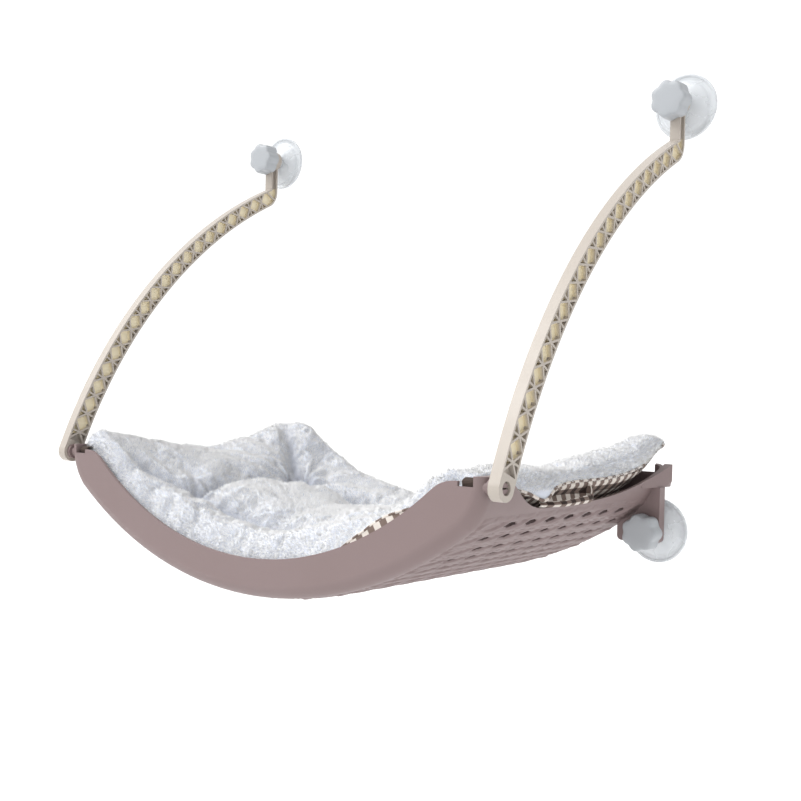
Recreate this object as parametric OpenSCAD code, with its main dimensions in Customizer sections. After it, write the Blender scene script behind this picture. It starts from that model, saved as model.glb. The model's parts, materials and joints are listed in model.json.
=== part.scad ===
// Window mounted cat perch: a curved cradle tray that hangs on a pane by two arms and four suction cups.
// The origin is the middle of the four cups on the glass. +Y goes into the glass, +Z is up, the room is at -Y.

/* [Tray] */
// Half width of the tray
tray_half_w = 266; // [255:1:280]
// Distance from the glass to the tray's front face
tray_front = 319.5; // [290:0.5:350]
// Gap between the glass and the tray's rear face
tray_rear_gap = 3; // [2:0.5:6]
// Depth of the cradle, from the rim to its underside
tray_h = 127; // [115:1:140]
// Height from the rim up to the middle of the four cups
rim_drop = 142; // [130:1:155]
// Radius where the floor turns up into a side
corner_r = 60; // [45:1:70]
// Wall thickness of the moulding
wall = 3; // [2.4:0.1:4]
// Outside radius between an apron and the floor
edge_r = 12; // [8:0.5:15]
// Height of an apron in the middle
apron_h = 36; // [28:1:44]
// Radius of an apron's hollow top edge
apron_r = 330; // [300:1:340]
// Drop from the rim to an apron's shoulder
shoulder_drop = 4.5; // [3:0.5:7]
// Radius between the shoulder and the hollow edge
shoulder_r = 35; // [25:1:40]
// Width of the strap notch in a shoulder
notch_w = 15; // [10:0.5:20]
// Depth of the strap notch
notch_h = 4; // [2:0.5:6]
// Width of the solid corner lug that holds a pivot pin
lug_w = 12; // [10:0.5:16]
// Height of the corner lug
lug_h = 24; // [20:1:30]
// Length of the corner lug along the side
lug_len = 20; // [17:0.5:26]

/* [Side rim] */
// Depth of the dip in a side rim
dip_h = 30.7; // [20:0.5:38]
// Distance from the front face to the start of the dip
dip_start = 34; // [30:1:44]
// Length over which the rim falls
dip_fall = 70; // [55:1:90]
// Outward reach of the rear corner horn past the tray's side
horn_reach = 5.5; // [3:0.5:7]
// Height of the rear corner horn
horn_h = 22; // [16:1:28]
// Length over which the rear corner horn flares out along the side
horn_len = 48; // [30:1:60]

/* [Woven floor] */
// Distance between rows of slots, along the curve
row_pitch = 20.5; // [18:0.5:24]
// Distance between slots in a row
slot_pitch = 31.5; // [29:0.5:36]
// Length of a slot from tip to tip
slot_len = 25; // [18:0.5:27]
// Width of a slot
slot_w = 8; // [5:0.5:9]
// Sideways lean of a slot's tips
slot_lean = 2.2; // [0:0.1:3]
// Plain margin between the slots and an apron
slot_margin = 17; // [14:0.5:24]
// How far round the corner bend the outermost row may lie
row_past = 12; // [6:1:16]

/* [Arms] */
// Gap between the tray's side and an arm
arm_gap = 3.9; // [2:0.1:6]
// Width of an arm
arm_w = 10.4; // [9:0.1:13]
// Depth of an arm at its pivot
arm_low_depth = 21.6; // [18:0.1:24]
// Depth of an arm at its top bend
arm_top_depth = 18.6; // [12:0.1:20]
// How far an arm bows out from the straight line between its ends
arm_rise = 39; // [30:1:46]
// Distance from the glass to the end of the bow
arm_end_gap = 33; // [30:0.5:36]
// Drop from a cup's middle to the end of the bow
arm_end_drop = 50.7; // [46:0.5:56]
// Radius at the back of the top bend
bend_r = 22; // [16:0.5:26]
// Thickness of an arm's flanges
flange_t = 2; // [1.6:0.1:3]
// Thickness of the web between the ribs
web_t = 2; // [1.6:0.1:4]
// Thickness of the lattice ribs
rib_t = 1.9; // [1.2:0.1:2.4]
// Length of one crossed bay of ribs
bay_pitch = 21; // [18:0.5:26]
// Radius of the round head that takes the stud
head_r = 11; // [10:0.5:12]

/* [Pivot] */
// Distance from the tray's front face back to the pivot
pivot_in = 7.5; // [7:0.1:9]
// Drop from the rim to the pivot
pivot_drop = 8; // [7.5:0.1:10]
// Radius of a pivot pin
pin_r = 4.9; // [4:0.1:5.4]
// Running clearance round the pin
pin_clear = 0.07; // [0.05:0.01:0.1]
// Depth of the pocket round the pin's snap end
snap_pocket = 3.4; // [3:0.1:4]
// Overhang of the snap end past the pin
snap_lip = 0.4; // [0.3:0.05:0.5]
// Width of the slit in the snap end
snap_slit = 1.4; // [1:0.1:2]
// Radius of the spacing collar on a pin
collar_r = 7.5; // [6.5:0.1:8]

/* [Cups] */
// Radius of a suction cup
cup_r = 31.9; // [28:0.1:36]
// Distance from an arm's middle in to its cup's middle
cup_upper_in = 0.8; // [0:0.1:3]
// Distance from the tray's side in to a lower cup's middle
cup_lower_in = 9.8; // [6:0.1:14]
// Height between the upper and the lower cups
cup_span = 416.6; // [400:0.1:440]
// Height of a cup from the glass to its seat
cup_h = 15; // [13:0.5:18]
// Radius of a cup's neck
neck_r = 8.6; // [7.5:0.1:10]
// Radius of a cup's dome where it meets the rim flange
dome_r = 24.5; // [22:0.5:26]
// Height of the dome over the glass
dome_h = 10.5; // [9:0.5:12]
// Thickness of a cup's rim flange
cup_flange_t = 1.8; // [1.4:0.1:2.6]
// Width of the flat land that touches the glass
cup_land = 5; // [4:0.5:7]
// Depth of the hollow under a cup
cup_hollow = 2.6; // [2:0.1:3.2]

/* [Clamp] */
// Thickness of an arm head and of a leg at the stud
clamp_t = 11; // [9:0.5:13]
// Radius of a stud
stud_r = 3; // [2.5:0.1:3.2]
// Radius of a stud's flat head
stud_head_r = 6.4; // [5.5:0.1:7]
// Thickness of a stud's flat head
stud_head_t = 2; // [1.5:0.1:2.5]
// Clearance of the stud in an arm head or a leg
stud_clear = 0.3; // [0.2:0.05:0.5]
// Distance from a stud's seat in the cup to the glass
stud_seat = 5; // [4.5:0.1:6]
// Outer radius of a washer
washer_r = 9; // [7.5:0.1:9.5]
// Thickness of a washer
washer_t = 1.2; // [0.8:0.1:1.6]
// Play between clamped faces
face_play = 0.1; // [0.05:0.01:0.2]

/* [Knobs] */
// Radius over a knob's lobes
knob_r = 18.5; // [17:0.1:19.5]
// Radius of one lobe
lobe_r = 4.6; // [4:0.1:5.2]
// Number of lobes
lobe_n = 7; // [5:1:8]
// Length of a knob
knob_h = 17; // [15:0.5:19]
// Radius of a knob's rounded front edge
knob_edge_r = 4; // [2:0.1:5]
// Radius of the brass insert
insert_r = 4.6; // [4.2:0.1:5.2]
// Length of the brass insert
insert_h = 12; // [10:0.5:13]
// Running clearance between the insert and the stud
thread_clear = 0.06; // [0.05:0.01:0.1]
// Wall of a knob round its hollow back
knob_wall = 2.2; // [1.8:0.1:2.8]
// Depth of a knob's hollow back
knob_hollow = 9; // [7:0.5:11]

/* [Legs] */
// Width of a leg
leg_w = 45; // [38:1:52]
// Reach of a leg past the tray's side
leg_out = 4; // [2:0.5:6]
// Step from the leg's face and edge back to the stud's boss and its ribs
boss_step = 1; // [0.5:0.1:2]
// Reach of a leg below its stud
leg_foot = 10.3; // [10:0.1:14]
// Radius of a leg's lower corners
leg_corner_r = 5; // [3:0.5:8]

/* [Mat] */
// Clearance between the mat's edge and the tray's side
mat_side_gap = 5; // [4:0.5:16]
// Clearance between the mat and the aprons
mat_clear = 1; // [0.5:0.1:3]
// Clearance between the mat and the floor
mat_lie = 0.4; // [0.3:0.1:2]
// Height of the mat's top over the floor in the middle
mat_top = 64; // [56:1:70]
// Height of the mat's side over the rim
mat_side_rise = 11; // [4:1:16]
// Drop from the rim to the underside of the mat's side edge
mat_side_drop = 12; // [8:1:16]
// Height by which the underside draws in at the front and rear edges
end_draw = 12; // [8:1:16]
// Height by which the underside draws in at the side edges
side_draw = 9; // [6:1:12]
// Half width of the quilted middle panel
panel_half_w = 140; // [120:1:160]
// Width of the border between the panel and the mat's front edge
border_w = 56; // [44:1:64]
// Width of the border between the panel and the mat's rear edge
rear_border_w = 90; // [80:1:96]
// Depth of the quilting seams
seam_h = 9; // [5:0.5:12]
// Half width of a quilting seam
seam_half_w = 11; // [8:1:16]
// Rise of the rear border
rear_rise = 14; // [8:1:30]
// Rise of the folds in the rear corners
fold_rise = 33; // [20:1:46]
// Rise of the humps in the front corners
front_rise = 26; // [10:1:30]
// Height by which the top rolls over at the front edge
front_roll = 34; // [20:1:38]
// Height by which the top rolls over at the rear edge
rear_roll = 10; // [6:1:14]
// Height by which the top rolls over at a side edge
side_roll = 8; // [4:1:10]
// Thickness of the checked underlay
base_t = 9; // [6:0.5:12]
// Width of a corner strap
strap_w = 12; // [8:0.5:14]
// Length of a corner strap behind the apron
strap_len = 12; // [10:1:14]
// Thickness of the strap cloth
strap_t = 1.2; // [0.8:0.1:1.6]
// Clearance between a strap and the apron
strap_gap = 0.4; // [0.3:0.05:1]

/* [Hidden] */
$fn = 96;
// How far cutting tools run past a face
over = 1;

// Places of the tray
rim_z = -rim_drop;
front_y = -tray_front;
rear_y = -tray_rear_gap;
tray_len = rear_y - front_y;
// Where the corner bend's middle lies, level with the rim
bend_x = tray_half_w - corner_r;
// How far a corner bend reaches past the floor's arc, so that the two cross at a faint crease
bend_past = wall / 8;
// Radius of the floor's underside, which runs almost tangent into both corner bends
floor_r = (bend_x * bend_x + tray_h * tray_h - pow(corner_r - bend_past, 2))
        / (2 * (tray_h - corner_r + bend_past));
floor_mid_z = floor_r - tray_h;
// Half of the angle that the floor's arc spans
floor_angle = atan2(bend_x, floor_mid_z);

// Places across the tray
arm_x = tray_half_w + arm_gap + arm_w / 2;
cup_upper_x = arm_x - cup_upper_in;
cup_lower_x = tray_half_w - cup_lower_in;
leg_out_x = tray_half_w + leg_out;
leg_in_x = leg_out_x - leg_w;
mat_half_w = tray_half_w - mat_side_gap;

// Places of the stations
cup_z = cup_span / 2;
seat_d = cup_h;
clamp_d = seat_d + clamp_t;
washer_d = clamp_d + face_play;
knob_d = washer_d + washer_t + face_play;
insert_d = knob_d + face_play;
stud_end_d = insert_d + insert_h;

// Places of an arm, in the plane that it lies in
pivot = [front_y + pivot_in, rim_z - pivot_drop];
arm_end = [-arm_end_gap, cup_z - arm_end_drop];
arm_chord = norm(arm_end - pivot);
arm_r = arm_chord * arm_chord / (8 * arm_rise) + arm_rise / 2;
arm_dir = (arm_end - pivot) / arm_chord;
// Middle of the bow's circle, behind and below the arm
arm_mid = (pivot + arm_end) / 2 + (arm_r - arm_rise) * [arm_dir[1], -arm_dir[0]];
low_angle = atan2(pivot[1] - arm_mid[1], pivot[0] - arm_mid[0]);
high_angle = atan2(arm_end[1] - arm_mid[1], arm_end[0] - arm_mid[0]);
arm_span = low_angle - high_angle;
half_depth = (arm_low_depth + arm_top_depth) / 4;
// Shifting both edge circles apart makes the arm taper
taper_shift = (arm_low_depth - arm_top_depth) / 4 / sin(arm_span / 2);
taper_angle = (low_angle + high_angle) / 2 - 90;
taper = taper_shift * [cos(taper_angle), sin(taper_angle)];
outer_r = arm_r + half_depth;
inner_r = arm_r - half_depth;
outer_mid = arm_mid - taper;
inner_mid = arm_mid + taper;
tab_back = -seat_d;
tab_front = -clamp_d;
// How far an arm's round ends reach past the edges that they run into
end_past = rib_t / 32;
// Middle of the back bend, which runs into the arm's underside and the tab's back
bend_mid_y = tab_back - bend_r + end_past;
bend_mid = [bend_mid_y,
            inner_mid[1] + sqrt(pow(inner_r + bend_r - end_past, 2) - pow(bend_mid_y - inner_mid[0], 2))];
arm_top_angle = atan2(bend_mid[1] - inner_mid[1], bend_mid[0] - inner_mid[0]);
// Where the tab starts, in the middle of the bow
tab_low = arm_mid[1] + sqrt(arm_r * arm_r - pow((tab_back + tab_front) / 2 - arm_mid[0], 2));

function polar(radius, angle) = radius * [cos(angle), sin(angle)];

// Solids drawn from a side view (Y, Z), spread evenly about X = 0
module across(width) {
    rotate([90, 0, 90])
        linear_extrude(width, center = true)
            children();
}

// Solids drawn from a front view (X, Z), from one distance in front of the glass to another
module between(near_glass, far_glass) {
    translate([0, -near_glass, 0])
        rotate([90, 0, 0])
            linear_extrude(far_glass - near_glass)
                children();
}

// Places what is drawn with +Z toward the room at one cup
module station(side, level) {
    x = level > 0 ? cup_upper_x : cup_lower_x;
    translate([side * x, 0, level * cup_z])
        rotate([90, 0, 0])
            children();
}

// Tray

// A drum about an axis along Y, as long as the tray, with the apron edges rounded
module drum(radius, inset) {
    r = edge_r - inset;
    y0 = front_y + inset;
    y1 = rear_y - inset;
    rotate([-90, 0, 0])
        rotate_extrude($fn = 240) {
            translate([0, y0 + r])
                square([radius, y1 - y0 - 2 * r]);
            translate([0, y0])
                square([radius - r, y1 - y0]);
            for (y = [y0 + r, y1 - r])
                translate([radius - r, y])
                    circle(r);
        }
}

// The cradle's body: the floor's drum, limited at each side by a corner bend's drum
module tray_body(inset) {
    half = floor_r * sin(floor_angle);
    intersection() {
        translate([0, 0, floor_mid_z])
            drum(floor_r - inset, inset);
        union() {
            between(-rear_y - over, -front_y + over)
                translate([-half, -tray_h - edge_r])
                    square([2 * half, tray_h + edge_r + over]);
            for (side = [-1, 1])
                translate([side * bend_x, 0, 0])
                    drum(corner_r - inset, inset);
        }
    }
}

// What is cut away over an apron's top edge
module apron_gap() {
    dip_mid = apron_r - (tray_h - apron_h);
    turn_z = -shoulder_drop - shoulder_r;
    turn_x = sqrt(pow(apron_r + shoulder_r, 2) - pow(dip_mid - turn_z, 2));
    touch = [0, dip_mid] + [turn_x, turn_z - dip_mid] * apron_r / (apron_r + shoulder_r);
    lug_x = tray_half_w - lug_w;
    half_gap = lug_x - notch_w;
    difference() {
        union() {
            translate([0, dip_mid])
                circle(apron_r, $fn = 240);
            translate([-lug_x, -shoulder_drop])
                square([2 * lug_x, shoulder_drop + over]);
            for (side = [-1, 1])
                scale([side, 1])
                    polygon([touch, [touch[0], 0], [turn_x, 0], [turn_x, turn_z]]);
        }
        for (side = [-1, 1])
            translate([side * turn_x, turn_z])
                circle(shoulder_r);
    }
    for (side = [-1, 1])
        translate([side * (half_gap + notch_w / 2) - notch_w / 2, -shoulder_drop - notch_h])
            square([notch_w, shoulder_drop + notch_h + over]);
}

// Height of the side rim: a quick fall behind the arm and a long rise to the rear
function dip_at(y) =
    let (y0 = front_y + dip_start, y1 = y0 + dip_fall)
    y < y1 ? -dip_h * (1 - pow(1 - (y - y0) / dip_fall, 2.2))
           : -dip_h * (1 - pow((y - y1) / (rear_y - y1), 3));

module rim_gap() {
    y0 = front_y + dip_start;
    y1 = y0 + dip_fall;
    fall_steps = 8;
    rise_steps = 12;
    polygon(concat(
        [[rear_y, over], [y0, over]],
        [for (i = [0:fall_steps - 1]) let (y = y0 + dip_fall * i / fall_steps) [y, dip_at(y)]],
        [for (i = [0:rise_steps]) let (y = y1 + (rear_y - y1) * i / rise_steps) [y, dip_at(y)]]));
}

// One pointed slot, lying along the tray
module slot() {
    half = slot_len / 2;
    flat = slot_len / 4;
    wide = slot_w / 2;
    polygon([[-slot_lean, -half], [wide - slot_lean / 2, -flat], [wide + slot_lean / 2, flat],
             [slot_lean, half], [slot_lean / 2 - wide, flat], [-wide - slot_lean / 2, -flat]]);
}

module woven_slots() {
    floor_half = floor_angle / 180 * PI * floor_r;
    rows = floor((floor_half + row_past) / row_pitch);
    room = tray_len - 2 * slot_margin;
    count = floor(room / slot_pitch);
    middle = (front_y + rear_y) / 2;
    for (row = [-rows:rows]) {
        odd = row % 2 != 0;
        slots = odd ? count - 1 : count;
        side = sign(row);
        along = abs(row) * row_pitch;
        // Past the crease a row turns about the corner bend's middle instead of the floor's
        bent = along > floor_half;
        place = bent ? [side * bend_x, middle, 0] : [0, middle, floor_mid_z];
        radius = bent ? corner_r : floor_r;
        angle = bent ? floor_angle + (along - floor_half) / corner_r * 180 / PI
                     : along / floor_r * 180 / PI;
        translate(place)
            rotate([0, -side * angle, 0])
                for (i = [0:slots - 1])
                    translate([0, (i - (slots - 1) / 2) * slot_pitch, -radius - over])
                        linear_extrude(wall + 2 * over)
                            slot();
    }
}

// Rear corner horn that flares out of the side and steadies the tray against the pane
module horn() {
    hollow_r = horn_h;
    inside = tray_half_w - wall;
    intersection() {
        between(-rear_y, horn_len - rear_y)
            difference() {
                translate([inside, -horn_h])
                    square([horn_reach + wall, horn_h]);
                translate([tray_half_w + horn_reach + hollow_r - horn_reach / 3, -horn_h - horn_reach / 2])
                    circle(hollow_r);
            }
        translate([0, 0, -horn_h - over])
            linear_extrude(horn_h + 2 * over)
                polygon([[inside - wall, rear_y + over], [inside - wall, rear_y - horn_len],
                         [inside, rear_y - horn_len], [tray_half_w + horn_reach, rear_y],
                         [tray_half_w + horn_reach, rear_y + over]]);
    }
}

module tray() {
    lug_x = tray_half_w - lug_w;
    color("#a49092")
        translate([0, 0, rim_z])
            difference() {
                union() {
                    difference() {
                        tray_body(0);
                        translate([-2 * tray_half_w, front_y - over, 0])
                            cube([4 * tray_half_w, tray_len + 2 * over, tray_h]);
                        difference() {
                            tray_body(wall);
                            for (side = [-1, 1])
                                translate([side * (lug_x + lug_w / 2) - lug_w / 2, front_y, -lug_h])
                                    cube([lug_w, lug_len, lug_h + 2 * over]);
                        }
                    }
                    horn();
                    mirror([1, 0, 0])
                        horn();
                }
                across(2 * (tray_half_w + horn_reach + over))
                    rim_gap();
                between(-front_y - edge_r, -front_y + over)
                    apron_gap();
                between(-rear_y - over, -rear_y + edge_r)
                    apron_gap();
                woven_slots();
                translate([0, pivot[0], -pivot_drop])
                    rotate([0, 90, 0])
                        cylinder(r = pin_r, h = 2 * (tray_half_w + over), center = true);
            }
}

// Leg under a rear corner: a plate with side walls and a boss for the stud
module leg_outline(inset) {
    low = -cup_z - leg_foot + inset;
    x0 = leg_in_x + inset;
    x1 = leg_out_x - inset;
    high = rim_z - dip_h / 2;
    r = leg_corner_r - inset;
    translate([x0, low + r])
        square([x1 - x0, high - low - r]);
    translate([x0 + r, low])
        square([x1 - x0 - 2 * r, 2 * r]);
    for (x = [x0 + r, x1 - r])
        translate([x, low + r])
            circle(r);
}

module leg() {
    rib_x = (leg_in_x + cup_lower_x) / 2;
    color("#8d7a74")
        difference() {
            union() {
                difference() {
                    between(seat_d, clamp_d)
                        leg_outline(0);
                    between(seat_d - over, clamp_d - wall)
                        leg_outline(wall);
                }
                between(seat_d, clamp_d - boss_step) {
                    translate([cup_lower_x, -cup_z])
                        circle(head_r - boss_step);
                    for (x = [rib_x, cup_lower_x])
                        translate([x - rib_t / 2, -cup_z + head_r - 2 * boss_step])
                            square([rib_t, rim_z - dip_h / 2 + cup_z - head_r]);
                }
            }
            translate([0, 0, rim_z])
                tray_body(0);
            between(seat_d - over, clamp_d + over)
                translate([tray_half_w - corner_r, rim_z - horn_h])
                    square([corner_r + leg_out_x - tray_half_w + over, rim_drop]);
            station(1, -1)
                translate([0, 0, seat_d - over])
                    cylinder(r = stud_r + stud_clear, h = clamp_t + 2 * over);
        }
}

// Arm

// Bow, bend and tab, drawn in by an inset, from an angle on the bow up to a height
module arm_flat(inset, from_angle, top) {
    far = 2 * arm_r;
    under_bend = bend_mid - 2 * polar(bend_r, arm_top_angle);
    behind = tab_back + bend_r;
    difference() {
        intersection() {
            union() {
                intersection() {
                    difference() {
                        translate(outer_mid)
                            circle(outer_r - inset, $fn = 360);
                        translate(inner_mid)
                            circle(inner_r + inset, $fn = 360);
                    }
                    translate(arm_mid)
                        polygon([[0, 0], polar(far, from_angle), polar(far, 90)]);
                }
                translate([tab_front + inset, tab_low])
                    square([clamp_t, cup_z - tab_low]);
            }
            translate([-far, -far])
                square([far + tab_back - inset, far + top]);
        }
        difference() {
            polygon([bend_mid, under_bend, [behind, under_bend[1]], [behind, bend_mid[1]]]);
            translate(bend_mid)
                circle(bend_r - inset);
        }
    }
}

module arm_outline() {
    arm_flat(0, low_angle, cup_z);
    translate(pivot)
        circle(arm_low_depth / 2 + end_past);
}

// Crossed ribs and one square rib in every bay
module arm_ribs() {
    start_angle = low_angle - arm_low_depth / 2 / arm_r * 180 / PI;
    span = start_angle - arm_top_angle;
    bays = floor(span * PI / 180 * arm_r / bay_pitch);
    bay_angle = span / bays;
    tilt = atan2(2 * half_depth, bay_pitch);
    for (i = [0:bays - 1]) {
        angle = start_angle - (i + 0.5) * bay_angle;
        translate(arm_mid + polar(arm_r, angle))
            rotate(angle)
                for (turn = [0, 90 - tilt, tilt - 90])
                    rotate(turn)
                        square([2 * bay_pitch, rib_t], center = true);
    }
}

// What is sunk into each side of an arm between its ribs
module arm_pockets() {
    start_angle = low_angle - arm_low_depth / 2 / arm_r * 180 / PI;
    difference() {
        arm_flat(flange_t, start_angle, cup_z - head_r);
        arm_ribs();
        translate(bend_mid)
            rotate(arm_top_angle / 2 - 90)
                square([4 * bend_r, rib_t], center = true);
    }
}

module arm() {
    pocket_d = (arm_w - web_t) / 2;
    color("#efece0")
        difference() {
            union() {
                translate([arm_x, 0, 0])
                    difference() {
                        across(arm_w)
                            arm_outline();
                        for (side = [-1, 1])
                            translate([side * (web_t + pocket_d + over) / 2, 0, 0])
                                across(pocket_d + over)
                                    arm_pockets();
                    }
                station(1, 1)
                    translate([0, 0, seat_d])
                        cylinder(r = head_r, h = clamp_t);
            }
            station(1, 1)
                translate([0, 0, seat_d - over])
                    cylinder(r = stud_r + stud_clear, h = clamp_t + 2 * over);
            translate([arm_x, pivot[0], pivot[1]])
                rotate([0, 90, 0])
                    cylinder(r = pin_r + pin_clear, h = arm_w + 2 * over, center = true);
            translate([arm_x + arm_w / 2 - snap_pocket, pivot[0], pivot[1]])
                rotate([0, 90, 0])
                    cylinder(r = pin_r + 2 * snap_lip, h = snap_pocket + over);
        }
}

// Pivot pin with a spacing collar and a split snap end
module pin() {
    inner_x = tray_half_w - lug_w;
    arm_in_x = arm_x - arm_w / 2;
    arm_out_x = arm_x + arm_w / 2;
    snap_x = arm_out_x - snap_pocket + 2 * face_play;
    snap_h = snap_pocket / 2;
    color("#b39a98")
        translate([0, pivot[0], pivot[1]])
            rotate([0, 90, 0])
                difference() {
                    union() {
                        translate([0, 0, inner_x])
                            cylinder(r = pin_r, h = snap_x - inner_x);
                        translate([0, 0, tray_half_w + face_play])
                            cylinder(r = collar_r, h = arm_in_x - tray_half_w - 2 * face_play);
                        translate([0, 0, snap_x])
                            cylinder(r1 = pin_r + snap_lip, r2 = pin_r - snap_lip, h = snap_h);
                    }
                    translate([-snap_slit / 2, -2 * pin_r, arm_in_x + over])
                        cube([snap_slit, 4 * pin_r, arm_w]);
                }
}

// Cup

module cup() {
    dome_sphere_r = (dome_r * dome_r + pow(dome_h - cup_flange_t, 2)) / (2 * (dome_h - cup_flange_t));
    hollow_edge = cup_r - cup_land;
    hollow_sphere_r = (hollow_edge * hollow_edge + cup_hollow * cup_hollow) / (2 * cup_hollow);
    color("#e8ecee", 0.6)
        difference() {
            union() {
                cylinder(r = cup_r, h = cup_flange_t);
                intersection() {
                    translate([0, 0, dome_h - dome_sphere_r])
                        sphere(dome_sphere_r);
                    cylinder(r = dome_r, h = dome_h);
                }
                cylinder(r = neck_r, h = cup_h);
            }
            translate([0, 0, cup_hollow - hollow_sphere_r])
                sphere(hollow_sphere_r);
            translate([0, 0, stud_seat])
                cylinder(r = stud_head_r, h = stud_head_t);
            translate([0, 0, stud_seat])
                cylinder(r = stud_r, h = cup_h);
        }
}

module stud() {
    color("#b8bcc0") {
        translate([0, 0, stud_seat])
            cylinder(r = stud_head_r, h = stud_head_t);
        translate([0, 0, stud_seat])
            cylinder(r = stud_r, h = stud_end_d - stud_seat);
    }
}

module washer() {
    color("#d5d8da")
        translate([0, 0, washer_d])
            difference() {
                cylinder(r = washer_r, h = washer_t);
                translate([0, 0, -over])
                    cylinder(r = stud_r + stud_clear, h = washer_t + 2 * over);
            }
}

// Rounded body of revolution that limits the lobes
module knob_bulk() {
    bulk_r = knob_r + knob_edge_r / 8;
    rotate_extrude() {
        square([bulk_r - knob_edge_r, knob_h]);
        square([bulk_r, knob_h - knob_edge_r]);
        translate([bulk_r - knob_edge_r, knob_h - knob_edge_r])
            circle(knob_edge_r);
    }
}

// How deep the hollows between the lobes run, as a share of a lobe's radius
lobe_core_share = 0.45;

module knob() {
    core_r = knob_r - lobe_r * lobe_core_share;
    hub_r = insert_r + knob_wall;
    color("#c3c8cd")
        translate([0, 0, knob_d])
            difference() {
                intersection() {
                    linear_extrude(knob_h) {
                        circle(core_r);
                        for (i = [0:lobe_n - 1])
                            rotate(i * 360 / lobe_n)
                                translate([knob_r - lobe_r, 0])
                                    circle(lobe_r);
                    }
                    knob_bulk();
                }
                translate([0, 0, -over])
                    difference() {
                        cylinder(r = core_r - knob_wall, h = knob_hollow + over);
                        cylinder(r = hub_r, h = knob_hollow + over);
                    }
                translate([0, 0, -over])
                    cylinder(r = insert_r, h = insert_h + insert_d - knob_d + over);
                translate([0, 0, -over])
                    cylinder(r = stud_r, h = stud_end_d - knob_d + 2 * over);
            }
}

module insert() {
    color("#c9a85a")
        translate([0, 0, insert_d])
            difference() {
                cylinder(r = insert_r, h = insert_h);
                translate([0, 0, -over])
                    cylinder(r = stud_r + thread_clear, h = insert_h + 2 * over);
            }
}

// Mat

// Columns and rows of the mat's grid, closer at the seams and the edges
column_shares = [0, 0.12, 0.24, 0.36, 0.46, 0.51, 0.54, 0.57, 0.64, 0.76, 0.88, 0.95, 0.985, 1];
front_row_shares = [0, 0.2, 0.4, 0.54, 0.6, 0.64, 0.68, 0.76, 0.86, 0.94, 0.98, 1];
rear_row_shares = [0, 0.16, 0.3, 0.36, 0.415, 0.47, 0.58, 0.72, 0.86, 0.94, 0.98, 1];
columns = concat([for (i = [len(column_shares) - 1:-1:1]) -column_shares[i]], column_shares);
rows = concat([for (i = [len(front_row_shares) - 1:-1:1]) -front_row_shares[i]], rear_row_shares);
mat_half_d = tray_len / 2 - wall - mat_clear;
mat_mid_y = (front_y + rear_y) / 2;
// How far the corners are drawn in, where the folds and humps lie, and where the edges start to roll
corner_draw_share = 0.05;
fold_share = 0.8;
fold_width_share = 0.19;
hump_share = 0.87;
hump_width_share = 0.15;
end_roll_share = 0.84;
side_roll_share = 0.9;
mitre_width_share = 0.3;
// How much less the front edge rolls over at its ends than in its middle
roll_ease_share = 0.82;

// A bump that is 1 on the line and fades within a width
function bump(distance, width) = exp(-pow(distance / width, 2));
// A quarter circle's fall, from 0 at the start to 1 at the edge
function quarter(share, start) =
    let (t = max(share - start, 0) / (1 - start))
    1 - sqrt(1 - t * t);
function floor_at(x) = floor_mid_z - sqrt(pow(floor_r - wall, 2) - x * x);
// Place in plan, with the corners drawn in
function mat_x(u, v) = mat_half_w * u * (1 - corner_draw_share * pow(v, 6));
function mat_y(u, v) = mat_mid_y + mat_half_d * v * (1 - corner_draw_share * pow(u, 6));

// A fold stands up in each rear corner and a hump in each front corner
function mat_fold(u, v) = fold_rise * bump(abs(u) - fold_share, fold_width_share) * pow(max(v, 0), 3);
function mat_hump(u, v) = front_rise * bump(abs(u) - hump_share, hump_width_share) * pow(max(-v, 0), 3);

// Underside: it lies on the floor under the panel and lifts off it toward the sides
function mat_low(u, v) =
    let (x = abs(mat_x(u, v)),
         lie = floor_at(min(x, panel_half_w)) + mat_lie,
         lift = max(x - panel_half_w, 0) / (mat_half_w - panel_half_w),
         draw = end_draw * pow(v, 8) + side_draw * pow(u, 10),
         rear = mat_fold(u, v) * u * u)
    lie - lift * (mat_side_drop + lie) + draw + rear;

// Quilting seams: round the panel, and from its corners out to the mat's corners
function mat_seam(u, v) =
    let (side_w = mat_half_w - panel_half_w,
         from_side = abs(mat_x(u, v)) - panel_half_w,
         border = v < 0 ? border_w : rear_border_w,
         from_end = abs(mat_half_d * v) - mat_half_d + border,
         beside = from_end > 0 ? 0 : bump(from_side, seam_half_w),
         along = from_side > 0 ? 0 : bump(from_end, seam_half_w),
         outside = from_side > 0 && from_end > 0,
         mitre = outside ? bump(from_side / side_w - from_end / border, mitre_width_share) : 0)
    seam_h * max(beside, along, mitre);

// The top rolls over where it comes down to the edges
function mat_roll(u, v) =
    let (end = v < 0 ? front_roll * (1 - roll_ease_share * u * u) : rear_roll)
    max(end * quarter(abs(v), end_roll_share), side_roll * quarter(abs(u), side_roll_share));

function mat_high(u, v) =
    let (middle = -tray_h + wall + mat_top,
         crown = middle + (mat_side_rise - middle) * pow(abs(u), 1.5),
         rear = rear_rise * pow(max(v, 0), 3))
    crown + rear + mat_fold(u, v) + mat_hump(u, v) - mat_seam(u, v) - mat_roll(u, v);

function mat_part(u, v) = mat_low(u, v) + min(base_t, (mat_high(u, v) - mat_low(u, v)) / 2);

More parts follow.
